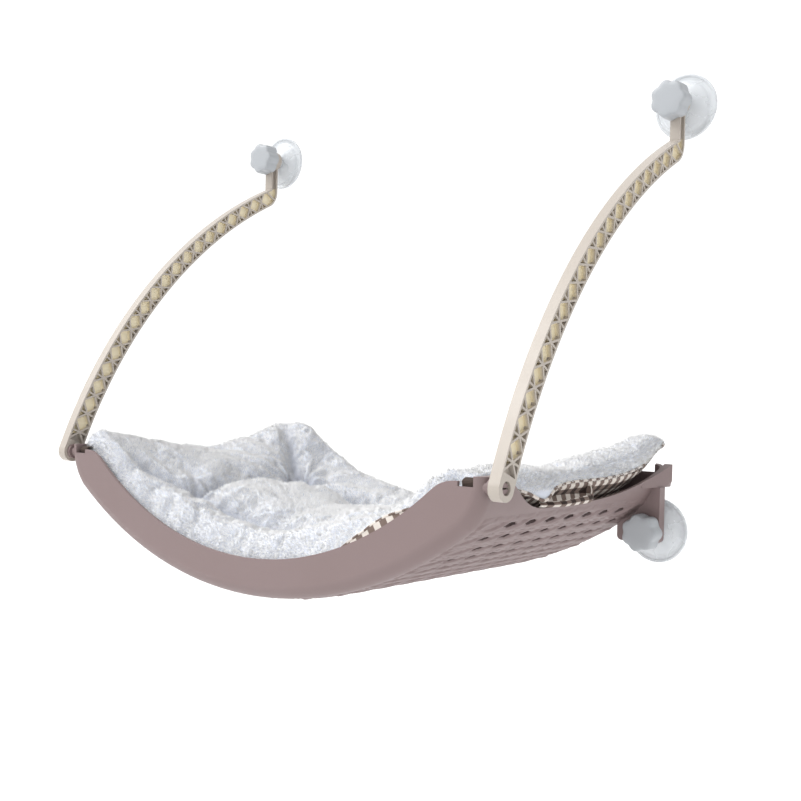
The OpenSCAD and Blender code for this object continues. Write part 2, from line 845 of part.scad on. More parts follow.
// Closed solid between two surfaces over the mat's grid
module mat_solid(low, high) {
    nu = len(columns);
    nv = len(rows);
    points = concat(
        [for (j = [0:nv - 1]) for (i = [0:nu - 1]) let (u = columns[i], v = rows[j])
            [mat_x(u, v), mat_y(u, v), low(u, v)]],
        [for (j = [0:nv - 1]) for (i = [0:nu - 1]) let (u = columns[i], v = rows[j])
            [mat_x(u, v), mat_y(u, v), high(u, v)]]);
    upper = nu * nv;
    faces = concat(
        [for (j = [0:nv - 2]) for (i = [0:nu - 2]) let (a = j * nu + i) [a, a + 1, a + nu + 1]],
        [for (j = [0:nv - 2]) for (i = [0:nu - 2]) let (a = j * nu + i) [a, a + nu + 1, a + nu]],
        [for (j = [0:nv - 2]) for (i = [0:nu - 2]) let (a = upper + j * nu + i) [a, a + nu + 1, a + 1]],
        [for (j = [0:nv - 2]) for (i = [0:nu - 2]) let (a = upper + j * nu + i) [a, a + nu, a + nu + 1]],
        [for (i = [0:nu - 2]) for (t = [0, 1])
            t == 0 ? [i, i + upper, i + 1] : [i + 1, i + upper, i + upper + 1]],
        [for (i = [0:nu - 2]) let (a = (nv - 1) * nu + i) for (t = [0, 1])
            t == 0 ? [a, a + 1, a + upper] : [a + 1, a + upper + 1, a + upper]],
        [for (j = [0:nv - 2]) let (a = j * nu) for (t = [0, 1])
            t == 0 ? [a, a + nu, a + upper] : [a + nu, a + nu + upper, a + upper]],
        [for (j = [0:nv - 2]) let (a = j * nu + nu - 1) for (t = [0, 1])
            t == 0 ? [a, a + upper, a + nu] : [a + nu, a + upper, a + nu + upper]]);
    translate([0, 0, rim_z])
        polyhedron(points, faces);
}

module mat_pad() {
    color("#dfe4ea")
        mat_solid(function (u, v) mat_part(u, v), function (u, v) mat_high(u, v));
}

module mat_base() {
    color("#8b7c74")
        mat_solid(function (u, v) mat_low(u, v), function (u, v) mat_part(u, v));
}

// Strap end behind an apron's notch
module corner_strap() {
    notch_x = tray_half_w - lug_w - notch_w / 2;
    color("#6b5a50")
        translate([notch_x - strap_w / 2, front_y + wall + strap_gap, rim_z - shoulder_drop - strap_len])
            cube([strap_w, strap_t, strap_len]);
}

module mirrored(side) {
    if (side < 0)
        mirror([1, 0, 0])
            children();
    else
        children();
}

tray();
mirrored(-1) leg();  // leg_left
leg();  // leg_right
mirrored(-1) arm();  // arm_left
arm();  // arm_right
mirrored(-1) pin();  // pin_left
pin();  // pin_right
station(-1, 1) cup();  // cup_upper_left
station(1, 1) cup();  // cup_upper_right
station(-1, -1) cup();  // cup_lower_left
station(1, -1) cup();  // cup_lower_right
station(-1, 1) stud();  // stud_upper_left
station(1, 1) stud();  // stud_upper_right
station(-1, -1) stud();  // stud_lower_left
station(1, -1) stud();  // stud_lower_right
station(-1, 1) washer();  // washer_upper_left
station(1, 1) washer();  // washer_upper_right
station(-1, -1) washer();  // washer_lower_left
station(1, -1) washer();  // washer_lower_right
station(-1, 1) knob();  // knob_upper_left
station(1, 1) knob();  // knob_upper_right
station(-1, -1) knob();  // knob_lower_left
station(1, -1) knob();  // knob_lower_right
station(-1, 1) insert();  // insert_upper_left
station(1, 1) insert();  // insert_upper_right
station(-1, -1) insert();  // insert_lower_left
station(1, -1) insert();  // insert_lower_right
mat_pad();
mat_base();
mirrored(-1) corner_strap();  // corner_strap_left
corner_strap();  // corner_strap_right
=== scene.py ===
"""Looks of a window mounted cat perch: a woven-look cradle tray, latticed arms, cups, knobs and a plush mat.

Every length is in metres, in the perch's own frame: the origin is the middle of the four cups on the
pane, +Y goes into the glass and +Z is up.
"""

import json
import logging
import math
from dataclasses import dataclass, field
from enum import Enum
from typing import Callable, Sequence

import bmesh
import bpy
import numpy as np
from mathutils import Matrix, Vector

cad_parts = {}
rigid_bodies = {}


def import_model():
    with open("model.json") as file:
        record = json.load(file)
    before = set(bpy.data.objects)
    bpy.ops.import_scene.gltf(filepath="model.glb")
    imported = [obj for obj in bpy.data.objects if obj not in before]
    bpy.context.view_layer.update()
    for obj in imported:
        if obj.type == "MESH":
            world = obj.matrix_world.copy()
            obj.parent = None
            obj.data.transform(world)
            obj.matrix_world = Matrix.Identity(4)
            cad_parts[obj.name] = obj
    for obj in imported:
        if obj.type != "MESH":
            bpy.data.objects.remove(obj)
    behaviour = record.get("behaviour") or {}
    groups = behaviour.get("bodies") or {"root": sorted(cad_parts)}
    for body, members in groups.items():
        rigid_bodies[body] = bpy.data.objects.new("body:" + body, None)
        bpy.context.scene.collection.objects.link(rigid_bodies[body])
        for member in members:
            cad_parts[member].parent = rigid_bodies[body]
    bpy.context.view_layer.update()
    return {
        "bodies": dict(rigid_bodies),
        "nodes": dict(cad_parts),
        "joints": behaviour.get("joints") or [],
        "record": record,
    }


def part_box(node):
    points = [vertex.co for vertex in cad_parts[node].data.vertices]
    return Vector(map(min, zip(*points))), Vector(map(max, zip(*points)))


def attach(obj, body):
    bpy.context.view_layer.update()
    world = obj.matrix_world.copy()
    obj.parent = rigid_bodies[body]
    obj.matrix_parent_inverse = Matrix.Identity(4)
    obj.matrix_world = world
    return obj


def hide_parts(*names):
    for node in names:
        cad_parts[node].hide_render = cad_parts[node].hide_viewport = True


LOG = logging.getLogger("perch")
Array = np.ndarray
Colour = tuple[float, float, float]
Place = tuple[float, float, float]
Corner = tuple[float, float, float]


class Side(Enum):
    """Left or right, as seen from the room."""

    LEFT = -1
    RIGHT = 1

    @property
    def word(self) -> str:
        """The side's name in lower case."""
        return self.name.lower()


class Level(Enum):
    """Upper or lower pair of cups."""

    LOWER = -1
    UPPER = 1

    @property
    def word(self) -> str:
        """The level's name in lower case."""
        return self.name.lower()


# Shapes and meshes


def smooth_step(values: Array) -> Array:
    """3t^2 - 2t^3 of the values t held between 0 and 1, which rises smoothly from 0 to 1."""
    t = np.clip(values, 0.0, 1.0)
    return t * t * (3.0 - 2.0 * t)


def bump(distance: Array, width: float) -> Array:
    """A bell, exp(-(distance / width)^2), that is 1 at distance 0 and 1/e at the width."""
    return np.exp(-np.square(distance / width))


def unit(vectors: Array) -> Array:
    """Each vector, along the last axis, over its own length."""
    return vectors / np.maximum(np.linalg.norm(vectors, axis=-1, keepdims=True), 1e-12)


def together(*parts: Array | float) -> Array:
    """The parts side by side in a new last axis, each spread to their common shape."""
    return np.stack(np.broadcast_arrays(*parts), -1)


def arc_lengths(points: Array, axis: int = 0) -> Array:
    """Distance along a row of points from its first one.

    Args:
        points: an array whose last axis is a place.
        axis: the axis that runs along the row.

    Returns:
        The running sum of the steps' lengths, one value per point.
    """
    steps = np.diff(points, axis=axis, prepend=np.take(points, [0], axis=axis))
    return np.cumsum(np.linalg.norm(steps, axis=-1), axis=axis)


@dataclass(frozen=True)
class Grain:
    """Smooth seeded noise in space, between about -1 and 1."""

    size: float
    seed: int
    octaves: int = 1
    cells: int = 24

    def at(self, points: Array) -> Array:
        """Values at points.

        Random numbers stand on a cubic lattice, each point takes the smooth blend of its eight nearest
        ones, and each further octave has half the size and half the weight.

        Args:
            points: an array whose last axis is X, Y, Z in metres.

        Returns:
            One value per point.
        """
        total = np.zeros(points.shape[:-1])
        for octave in range(self.octaves):
            table = np.random.default_rng(self.seed + octave).uniform(-1, 1, (self.cells,) * 3)
            place = points / (self.size * 0.5**octave)
            cell = np.floor(place).astype(int)
            share = smooth_step(place - cell)
            value = np.zeros_like(total)
            for corner in np.ndindex(2, 2, 2):
                index = (cell + corner) % self.cells
                weight = np.prod(np.where(np.array(corner) == 1, share, 1.0 - share), axis=-1)
                value += weight * table[index[..., 0], index[..., 1], index[..., 2]]
            total += value * 0.5**octave
        return total


def grid_faces(rows: int, columns: int, wrap_columns: bool = False, flip: bool = False) -> Array:
    """Four-sided faces over points kept row by row.

    Args:
        rows: number of rows of points.
        columns: number of points in a row.
        wrap_columns: True joins the last column to the first.
        flip: True turns the faces over.

    Returns:
        An array of shape (faces, 4).
    """
    across = np.arange(columns if wrap_columns else columns - 1)
    i, j = np.meshgrid(np.arange(rows - 1), across, indexing="ij")
    here, right = i * columns, (j + 1) % columns
    there = here + columns
    quads = np.stack([here + j, here + right, there + right, there + j], -1).reshape(-1, 4)
    return quads[:, ::-1] if flip else quads


def make_piece(name: str, points: Array, faces: Sequence[Array], uv: Array | None = None) -> bpy.types.Object:
    """A smooth-shaded mesh object from whole arrays.

    Args:
        name: the piece's name.
        points: array whose last axis is X, Y, Z.
        faces: arrays of vertex numbers, one array for each number of corners.
        uv: a map place for each point, or None.

    Returns:
        The new object, linked to the scene with its place in its mesh.
    """
    mesh = bpy.data.meshes.new(name)
    flat = points.reshape(-1, 3)
    mesh.vertices.add(len(flat))
    mesh.vertices.foreach_set("co", flat.astype(np.float32).ravel())
    corners = np.concatenate([f.ravel() for f in faces]).astype(np.int32)
    totals = np.concatenate([np.full(len(f), f.shape[1], np.int32) for f in faces])
    mesh.loops.add(len(corners))
    mesh.loops.foreach_set("vertex_index", corners)
    mesh.polygons.add(len(totals))
    mesh.polygons.foreach_set("loop_start", np.concatenate([[0], np.cumsum(totals)[:-1]]).astype(np.int32))
    mesh.polygons.foreach_set("loop_total", totals)
    mesh.update(calc_edges=True)
    if uv is not None:
        layer = mesh.uv_layers.new(name="cloth")
        layer.data.foreach_set("uv", uv.reshape(-1, 2)[corners].astype(np.float32).ravel())
    mesh.polygons.foreach_set("use_smooth", np.ones(len(totals), bool))
    piece = bpy.data.objects.new(name, mesh)
    bpy.context.scene.collection.objects.link(piece)
    return piece


def weld(piece: bpy.types.Object, distance: float = 1e-6) -> bpy.types.Object:
    """Merges points that lie together and turns all faces outwards.

    Args:
        piece: the mesh object.
        distance: how close points are to be merged.

    Returns:
        The same object.
    """
    work = bmesh.new()
    work.from_mesh(piece.data)
    bmesh.ops.remove_doubles(work, verts=work.verts, dist=distance)
    bmesh.ops.dissolve_degenerate(work, edges=work.edges, dist=distance)
    bmesh.ops.recalc_face_normals(work, faces=work.faces)
    work.to_mesh(piece.data)
    work.free()
    return piece


def rounded(corners: Sequence[Corner], steps: int = 6) -> Array:
    """A closed outline whose corners are rounded.

    Args:
        corners: (across, along, radius) of each corner, in order.
        steps: points on each rounding.

    Returns:
        Points of the outline. Each rounding is the curve (1-s)^2 a + 2s(1-s) c + s^2 b between the two
        points a and b that lie the radius away from the corner c.
    """
    places = np.array([c[:2] for c in corners])
    outline: list[Array] = []
    for n, (_, _, radius) in enumerate(corners):
        here, before, after = places[n], places[n - 1], places[(n + 1) % len(corners)]
        if radius <= 0:
            outline.append(here[None])
            continue
        back, ahead = before - here, after - here
        a = here + back * min(0.48, radius / np.linalg.norm(back))
        b = here + ahead * min(0.48, radius / np.linalg.norm(ahead))
        s = np.linspace(0, 1, steps)[:, None]
        outline.append((1 - s) ** 2 * a + 2 * s * (1 - s) * here + s**2 * b)
    return np.concatenate(outline)


# Materials


@dataclass
class Board:
    """A material's node tree, with short calls to add and join nodes."""

    name: str
    material: bpy.types.Material = field(init=False)
    nodes: bpy.types.Nodes = field(init=False)
    links: bpy.types.NodeLinks = field(init=False)
    shader: bpy.types.Node = field(init=False)

    def __post_init__(self) -> None:
        """Makes the material with one surface shader."""
        self.material = bpy.data.materials.new(self.name)
        self.material.use_nodes = True
        self.nodes = self.material.node_tree.nodes
        self.links = self.material.node_tree.links
        self.shader = self.nodes["Principled BSDF"]

    def add(self, kind: str, **values: object) -> bpy.types.Node:
        """Adds a node.

        Args:
            kind: the node's type name.
            values: attributes of the node, such as operation.

        Returns:
            The node.
        """
        node = self.nodes.new(kind)
        for key, value in values.items():
            setattr(node, key, value)
        return node

    def feed(self, socket: bpy.types.NodeSocket, value: object) -> None:
        """Joins an output to an input, or sets the input's own value.

        Args:
            socket: the input.
            value: an output socket, or a plain value.
        """
        if isinstance(value, bpy.types.NodeSocket):
            self.links.new(value, socket)
        else:
            socket.default_value = value

    def math(self, operation: str, *values: object) -> bpy.types.NodeSocket:
        """A Math node's result.

        Args:
            operation: such as MULTIPLY.
            values: numbers or output sockets.

        Returns:
            The output socket.
        """
        node = self.add("ShaderNodeMath", operation=operation)
        for socket, value in zip(node.inputs, values):
            self.feed(socket, value)
        return node.outputs[0]

    def scaled(self, value: object, share: float, base: float | bpy.types.NodeSocket) -> bpy.types.NodeSocket:
        """The base plus a share of a value."""
        return self.math("ADD", base, self.math("MULTIPLY", value, share))

    def wave(self, along: bpy.types.NodeSocket, length: float) -> bpy.types.NodeSocket:
        """A sine from -1 to 1 along one direction, with the length of a full wave."""
        return self.math("SINE", self.math("MULTIPLY", along, 2.0 * math.pi / length))

    def place(self, use_map: bool = False) -> bpy.types.NodeSocket:
        """Object coordinates, or the piece's own map if it is to be used."""
        return self.add("ShaderNodeTexCoord").outputs["UV" if use_map else "Object"]

    def split(self, place: bpy.types.NodeSocket) -> tuple[bpy.types.NodeSocket, ...]:
        """The place's X, Y and Z.

        Args:
            place: the output socket of a place.

        Returns:
            Three output sockets.
        """
        node = self.add("ShaderNodeSeparateXYZ")
        self.feed(node.inputs[0], place)
        return tuple(node.outputs)

    def ramp(self, value: bpy.types.NodeSocket, start: float, end: float) -> bpy.types.NodeSocket:
        """Falls evenly from 1 to 0.

        Args:
            value: what the fall goes by.
            start: the value up to which it is 1.
            end: the value from which it is 0.

        Returns:
            The output socket.
        """
        node = self.add("ShaderNodeMapRange")
        self.feed(node.inputs["Value"], value)
        for key, number in (("From Min", start), ("From Max", end), ("To Min", 1.0), ("To Max", 0.0)):
            node.inputs[key].default_value = number
        return node.outputs["Result"]

    def noise(self, place: bpy.types.NodeSocket, scale: float, detail: float = 3.0) -> bpy.types.NodeSocket:
        """Noise between 0 and 1.

        Args:
            place: where the noise is read.
            scale: waves per metre.
            detail: number of finer layers.

        Returns:
            The output socket.
        """
        node = self.add("ShaderNodeTexNoise")
        self.feed(node.inputs["Vector"], place)
        node.inputs["Scale"].default_value = scale
        node.inputs["Detail"].default_value = detail
        return node.outputs["Fac"]

    def blend(self, factor: object, first: object, second: object) -> bpy.types.NodeSocket:
        """A mix of two colours.

        Args:
            factor: 0 gives the first and 1 the second.
            first: a colour or an output socket.
            second: a colour or an output socket.

        Returns:
            The output socket.
        """
        node = self.add("ShaderNodeMix", data_type="RGBA")
        self.feed(node.inputs["Factor"], factor)
        for key, value in (("A", first), ("B", second)):
            socket = next(s for s in node.inputs if s.name == key and s.type == "RGBA")
            self.feed(socket, (*value, 1.0) if isinstance(value, tuple) else value)
        return next(s for s in node.outputs if s.type == "RGBA")

    def relief(self, height: bpy.types.NodeSocket, depth: float, strength: float = 1.0) -> None:
        """Joins a height to the shader as a bump.

        Args:
            height: values from 0 to 1.
            depth: what 1 stands for, in metres.
            strength: share of the effect.
        """
        node = self.add("ShaderNodeBump")
        node.inputs["Strength"].default_value = strength
        node.inputs["Distance"].default_value = depth
        self.feed(node.inputs["Height"], height)
        self.feed(self.shader.inputs["Normal"], node.outputs["Normal"])

    def surface(self, **values: object) -> None:
        """Sets inputs of the surface shader, whose names have underscores for spaces."""
        for key, value in values.items():
            self.feed(self.shader.inputs[key.replace("_", " ")], value)


def rgb(red: int, green: int, blue: int) -> Colour:
    """A screen colour as the shader's linear values.

    Args:
        red: 0 to 255.
        green: 0 to 255.
        blue: 0 to 255.

    Returns:
        Linear red, green and blue.
    """
    share = np.array([red, green, blue]) / 255.0
    linear = np.where(share <= 0.04045, share / 12.92, ((share + 0.055) / 1.055) ** 2.4)
    return tuple(float(v) for v in linear)


@dataclass(frozen=True)
class Moulding:
    """Moulded plastic: faint cloudy colour, fine sparked grain and a satin skin.

    Where a thin web lets light through, it takes a painted glow, a lighter colour that stands in for that
    light, which fades with the distance from its plane. The glow keeps within the web's half width of the arc
    that it follows, above its lower end.
    """

    name: str
    colour: Colour
    shade: Colour
    roughness: float = 0.42
    grain: float = 2600.0
    grain_depth: float = 0.00003
    # Painted glow: the colour that stands in for light passing through the thin web.
    web: Colour | None = None
    web_x: float = 0.2751
    web_fade: tuple[float, float] = (0.0012, 0.0048)
    web_low: float = -0.131
    web_middle: tuple[float, float] = (0.2225, -0.3545)
    web_r: float = 0.5723
    web_half_w: float = 0.0074

    def web_share(self, board: Board, place: bpy.types.NodeSocket) -> bpy.types.NodeSocket:
        """How much of the web's painted glow a place takes.

        Args:
            board: the material's nodes.
            place: Object coordinates.

        Returns:
            The output socket, 1 on the web and 0 away from it.
        """
        x, y, z = board.split(place)
        off = board.math("SUBTRACT", board.math("ABSOLUTE", x), self.web_x)
        thin = board.ramp(board.math("ABSOLUTE", off), *self.web_fade)
        legs = [board.math("POWER", board.math("SUBTRACT", axis, middle), 2.0)
                for axis, middle in zip((y, z), self.web_middle)]
        radius = board.math("SQRT", board.math("ADD", *legs))
        beside = board.math("ABSOLUTE", board.math("SUBTRACT", radius, self.web_r))
        inner = board.math("LESS_THAN", beside, self.web_half_w)
        above = board.math("GREATER_THAN", z, self.web_low)
        return board.math("MULTIPLY", thin, board.math("MULTIPLY", inner, above))

    def make(self) -> bpy.types.Material:
        """Builds the material."""
        board = Board(self.name)
        place = board.place()
        cloud = board.noise(place, 9.0, 4.0)
        speck = board.noise(place, 900.0, 2.0)
        mixed = board.scaled(speck, 0.3, board.math("MULTIPLY", cloud, 0.7))
        colour = board.blend(mixed, self.colour, self.shade)
        # Painted glow: the web takes a lighter, yellower colour in place of the light that passes through it.
        if self.web is not None:
            colour = board.blend(self.web_share(board, place), colour, self.web)
        board.surface(Base_Color=colour)
        rough = board.scaled(board.noise(place, 60.0), 0.16, self.roughness - 0.08)
        board.surface(Roughness=rough, Specular_IOR_Level=0.45)
        board.relief(board.noise(place, self.grain, 2.0), self.grain_depth, 0.6)
        return board.material


@dataclass(frozen=True)
class ClearVinyl:
    """Soft milky vinyl that lets light through."""

    name: str
    colour: Colour
    clear: float

    def make(self) -> bpy.types.Material:
        """Builds the material."""
        board = Board(self.name)
        place = board.place()
        haze = board.noise(place, 45.0, 3.0)
        board.surface(Base_Color=board.blend(haze, self.colour, rgb(206, 210, 214)))
        board.surface(Roughness=board.scaled(haze, 0.22, 0.16))
        board.surface(IOR=1.38, Transmission_Weight=self.clear, Coat_Weight=0.15, Coat_Roughness=0.15)
        board.relief(board.noise(place, 240.0, 2.0), 0.00008, 0.5)
        return board.material


@dataclass(frozen=True)
class TurnedMetal:
    """Turned or plated metal with fine marks round the turning axis."""

    name: str
    colour: Colour
    roughness: float

    def make(self) -> bpy.types.Material:
        """Builds the material."""
        board = Board(self.name)
        place = board.place()
        stretch = board.add("ShaderNodeMapping")
        stretch.inputs["Scale"].default_value = (1.0, 18.0, 1.0)
        board.feed(stretch.inputs["Vector"], place)
        marks = board.noise(stretch.outputs["Vector"], 220.0, 4.0)
        dark = tuple(c * 0.72 for c in self.colour)
        board.surface(Base_Color=board.blend(marks, self.colour, dark), Metallic=1.0)
        board.surface(Roughness=board.scaled(marks, 0.15, self.roughness))
        board.relief(marks, 0.00004, 0.5)
        return board.material


@dataclass(frozen=True)
class Plush:
    """Deep soft pile whose strands carry painted shade, darker at the roots and in the skin's hollows, pale
    at the tips, with a soft sheen.
    """

    name: str
    root: Colour
    tip: Colour
    strands: bool

    def make(self) -> bpy.types.Material:
        """Builds the material. The pile's strands take a random tone and a painted shade from their map."""
        board = Board(self.name)
        place = board.place()
        cloud = board.noise(place, 38.0, 4.0)
        if self.strands:
            # The map's second value is painted shade, lower at the spikes' roots and in the skin's hollows.
            chance, bright, _ = board.split(board.place(use_map=True))
            each = board.math("MULTIPLY", board.math("SUBTRACT", chance, 0.5), 0.16)
            painted_shade_and_cloud = board.scaled(cloud, 0.1, bright)
            factor = board.math("ADD", painted_shade_and_cloud, each)
        else:
            factor = board.math("MULTIPLY", board.math("ADD", cloud, board.noise(place, 420.0, 3.0)), 0.5)
        clamped = board.add("ShaderNodeClamp")
        board.feed(clamped.inputs["Value"], factor)
        board.surface(Base_Color=board.blend(clamped.outputs[0], self.root, self.tip), Roughness=0.95)
        board.surface(Sheen_Weight=0.15, Sheen_Roughness=0.6, Specular_IOR_Level=0.1)
        board.relief(board.noise(place, 700.0, 3.0), 0.0008, 0.5)
        return board.material


@dataclass(frozen=True)
class Gingham:
    """Plain woven cotton in even dark and pale stripes both ways, in metres on the piece's own map."""

    name: str
    dark: Colour
    middle: Colour
    pale: Colour
    check: float = 0.0075
    thread: float = 0.0005

    def stripe(self, board: Board, along: bpy.types.NodeSocket) -> bpy.types.NodeSocket:
        """1 on every second stripe along one direction of the map."""
        share = board.math("FRACT", board.math("DIVIDE", along, 2.0 * self.check))
        return board.math("GREATER_THAN", share, 0.5)

    def make(self) -> bpy.types.Material:
        """Builds the material."""
        board = Board(self.name)
        across, along, _ = board.split(board.place(use_map=True))
        warp, weft = self.stripe(board, across), self.stripe(board, along)
        both = board.math("MULTIPLY", warp, weft)
        either = board.math("MAXIMUM", warp, weft)
        colour = board.blend(either, self.pale, self.middle)
        colour = board.blend(both, colour, self.dark)
        threads = board.math("MULTIPLY", *(board.wave(way, self.thread) for way in (across, along)))
        weave = board.scaled(threads, 0.5, 0.5)
        worn = board.math("MULTIPLY", board.noise(board.place(), 500.0, 3.0), 0.15)
        faded = board.blend(worn, colour, self.middle)
        board.surface(Base_Color=faded, Roughness=0.9, Sheen_Weight=0.05, Specular_IOR_Level=0.15)
        board.relief(weave, 0.0002, 0.7)
        return board.material


@dataclass(frozen=True)
class Webbing:
    """Flat woven strap with ribs across its length."""

    name: str
    colour: Colour
    rib: float = 0.0012

    def make(self) -> bpy.types.Material:
        """Builds the material."""
        board = Board(self.name)
        along = board.split(board.place(use_map=True))[1]
        ribs = board.scaled(board.wave(along, self.rib), 0.5, 0.5)
        pale = tuple(c * 1.6 for c in self.colour)
        colour = board.blend(board.math("MULTIPLY", ribs, 0.6), self.colour, pale)
        board.surface(Base_Color=colour, Roughness=0.9)
        board.relief(ribs, 0.0003, 0.8)
        return board.material


def made(recipe: Moulding | ClearVinyl | TurnedMetal | Plush | Gingham | Webbing) -> bpy.types.Material:
    """A field of a palette, whose material is built from the recipe when the palette is made."""
    return field(default_factory=recipe.make)


@dataclass
class Palette:
    """Every finish on the perch, made once."""

    tray: bpy.types.Material = made(Moulding(
        "tray_plastic", rgb(129, 112, 112), rgb(122, 105, 103), roughness=0.5))
    arm: bpy.types.Material = made(Moulding(
        # The arm's web colour is a painted glow of light passing through the thin web.
        "arm_plastic", rgb(178, 170, 162), rgb(172, 163, 152), roughness=0.4, web=rgb(230, 219, 190)))
    knob: bpy.types.Material = made(Moulding(
        "knob_plastic", rgb(168, 171, 175), rgb(160, 164, 168), roughness=0.38))
    washer: bpy.types.Material = made(Moulding(
        "washer_nylon", rgb(228, 230, 230), rgb(220, 222, 222), roughness=0.3))
    cup: bpy.types.Material = made(ClearVinyl(
        "cup_vinyl", rgb(236, 239, 242), clear=0.28))
    steel: bpy.types.Material = made(TurnedMetal("stud_steel", rgb(196, 199, 203), 0.28))
    brass: bpy.types.Material = made(TurnedMetal("insert_brass", rgb(205, 170, 96), 0.25))
    plush_skin: bpy.types.Material = made(Plush(
        "plush_skin", rgb(190, 195, 208), rgb(222, 227, 236), strands=False))
    # The pile's root colour is painted shade: it shows at the spikes' roots and in the skin's hollows.
    plush_pile: bpy.types.Material = made(Plush(
        "plush_pile", rgb(172, 180, 204), rgb(255, 255, 255), strands=True))
    gingham: bpy.types.Material = made(Gingham(
        "gingham", rgb(48, 36, 32), rgb(122, 106, 98), rgb(226, 218, 210)))
    webbing: bpy.types.Material = made(Webbing("webbing", rgb(60, 48, 42)))


def dress(piece: bpy.types.Object, finish: bpy.types.Material) -> bpy.types.Object:
    """Gives a piece one finish.

    Args:
        piece: a new piece or a carried-over node.
        finish: the material.

    Returns:
        The same piece.
    """
    piece.data.materials.clear()
    piece.data.materials.append(finish)
    return piece


# The tray and its woven floor


@dataclass(frozen=True)
class TrayForm:
    """Sizes of the cradle, the same as the solid's."""

    half_w: float = 0.266
    front: float = -0.3195
    rear: float = -0.003
    rim: float = -0.142
    depth: float = 0.127
    corner_r: float = 0.060
    crease: float = 0.000375
    wall: float = 0.003
    edge_r: float = 0.012
    row_pitch: float = 0.0205
    slot_pitch: float = 0.0315
    slot_margin: float = 0.017
    rows: int = 13
    dip_h: float = 0.0307
    dip_start: float = 0.034
    dip_fall: float = 0.070
    dip_rise: float = 0.2125

    @property
    def bend_x(self) -> float:
        """Where the corner bend's middle lies."""
        return self.half_w - self.corner_r

    @property
    def floor_r(self) -> float:
        """Radius of the floor's underside."""
        inner = self.corner_r - self.crease
        return (self.bend_x**2 + self.depth**2 - inner**2) / (2 * (self.depth - inner))

    @property
    def floor_mid(self) -> float:
        """Height of the floor arc's middle over the rim."""
        return self.floor_r - self.depth

    @property
    def floor_angle(self) -> float:
        """How far the floor's arc turns from the middle to the corner bend."""
        return math.atan2(self.bend_x, self.floor_mid)

    def underside(self, along: Array, proud: Array) -> tuple[Array, Array]:
        """X, and Z over the rim, of places on the underside.

        The section is the floor's arc up to the corner bend and the bend's smaller arc past it. A place is
        its arc's middle plus the radius and what it stands proud, in the direction of the arc's angle.

        Args:
            along: distance along the curve from the middle plane.
            proud: height over the surface.

        Returns:
            Two arrays like the first.
        """
        past = np.maximum(np.abs(along) - self.floor_r * self.floor_angle, 0.0)
        angle = np.where(past > 0, self.floor_angle + past / self.corner_r, np.abs(along) / self.floor_r)
        middle_x = np.where(past > 0, self.bend_x, 0.0)
        middle_z = np.where(past > 0, 0.0, self.floor_mid)
        radius = np.where(past > 0, self.corner_r, self.floor_r) + proud
        return np.sign(along) * (middle_x + radius * np.sin(angle)), middle_z - radius * np.cos(angle)

    @property
    def length(self) -> float:
        """Distance from the front face to the rear face."""
        return self.rear - self.front

    def side_rim(self, y: Array) -> Array:
        """Height of a side's dipped rim over the plain rim.

        The rim falls off steeply behind the front corner, as a power of the way down, and climbs back with
        the cube of the way to the rear.

        Args:
            y: places from front to rear.

        Returns:
            Heights, 0 or less.
        """
        fall = (y - self.front - self.dip_start) / self.dip_fall
        rise = (y - self.front - self.dip_start - self.dip_fall) / self.dip_rise
        up = np.where(fall < 1, np.clip(1 - fall, 0, 1) ** 2.2, np.clip(rise, 0, 1) ** 3)
        return -self.dip_h * (1 - up)

    def floor_top(self, x: Array) -> Array:
        """Height of the floor's upper side over the rim, at distances from the middle plane."""
        return self.floor_mid - np.sqrt((self.floor_r - self.wall) ** 2 - np.square(x))


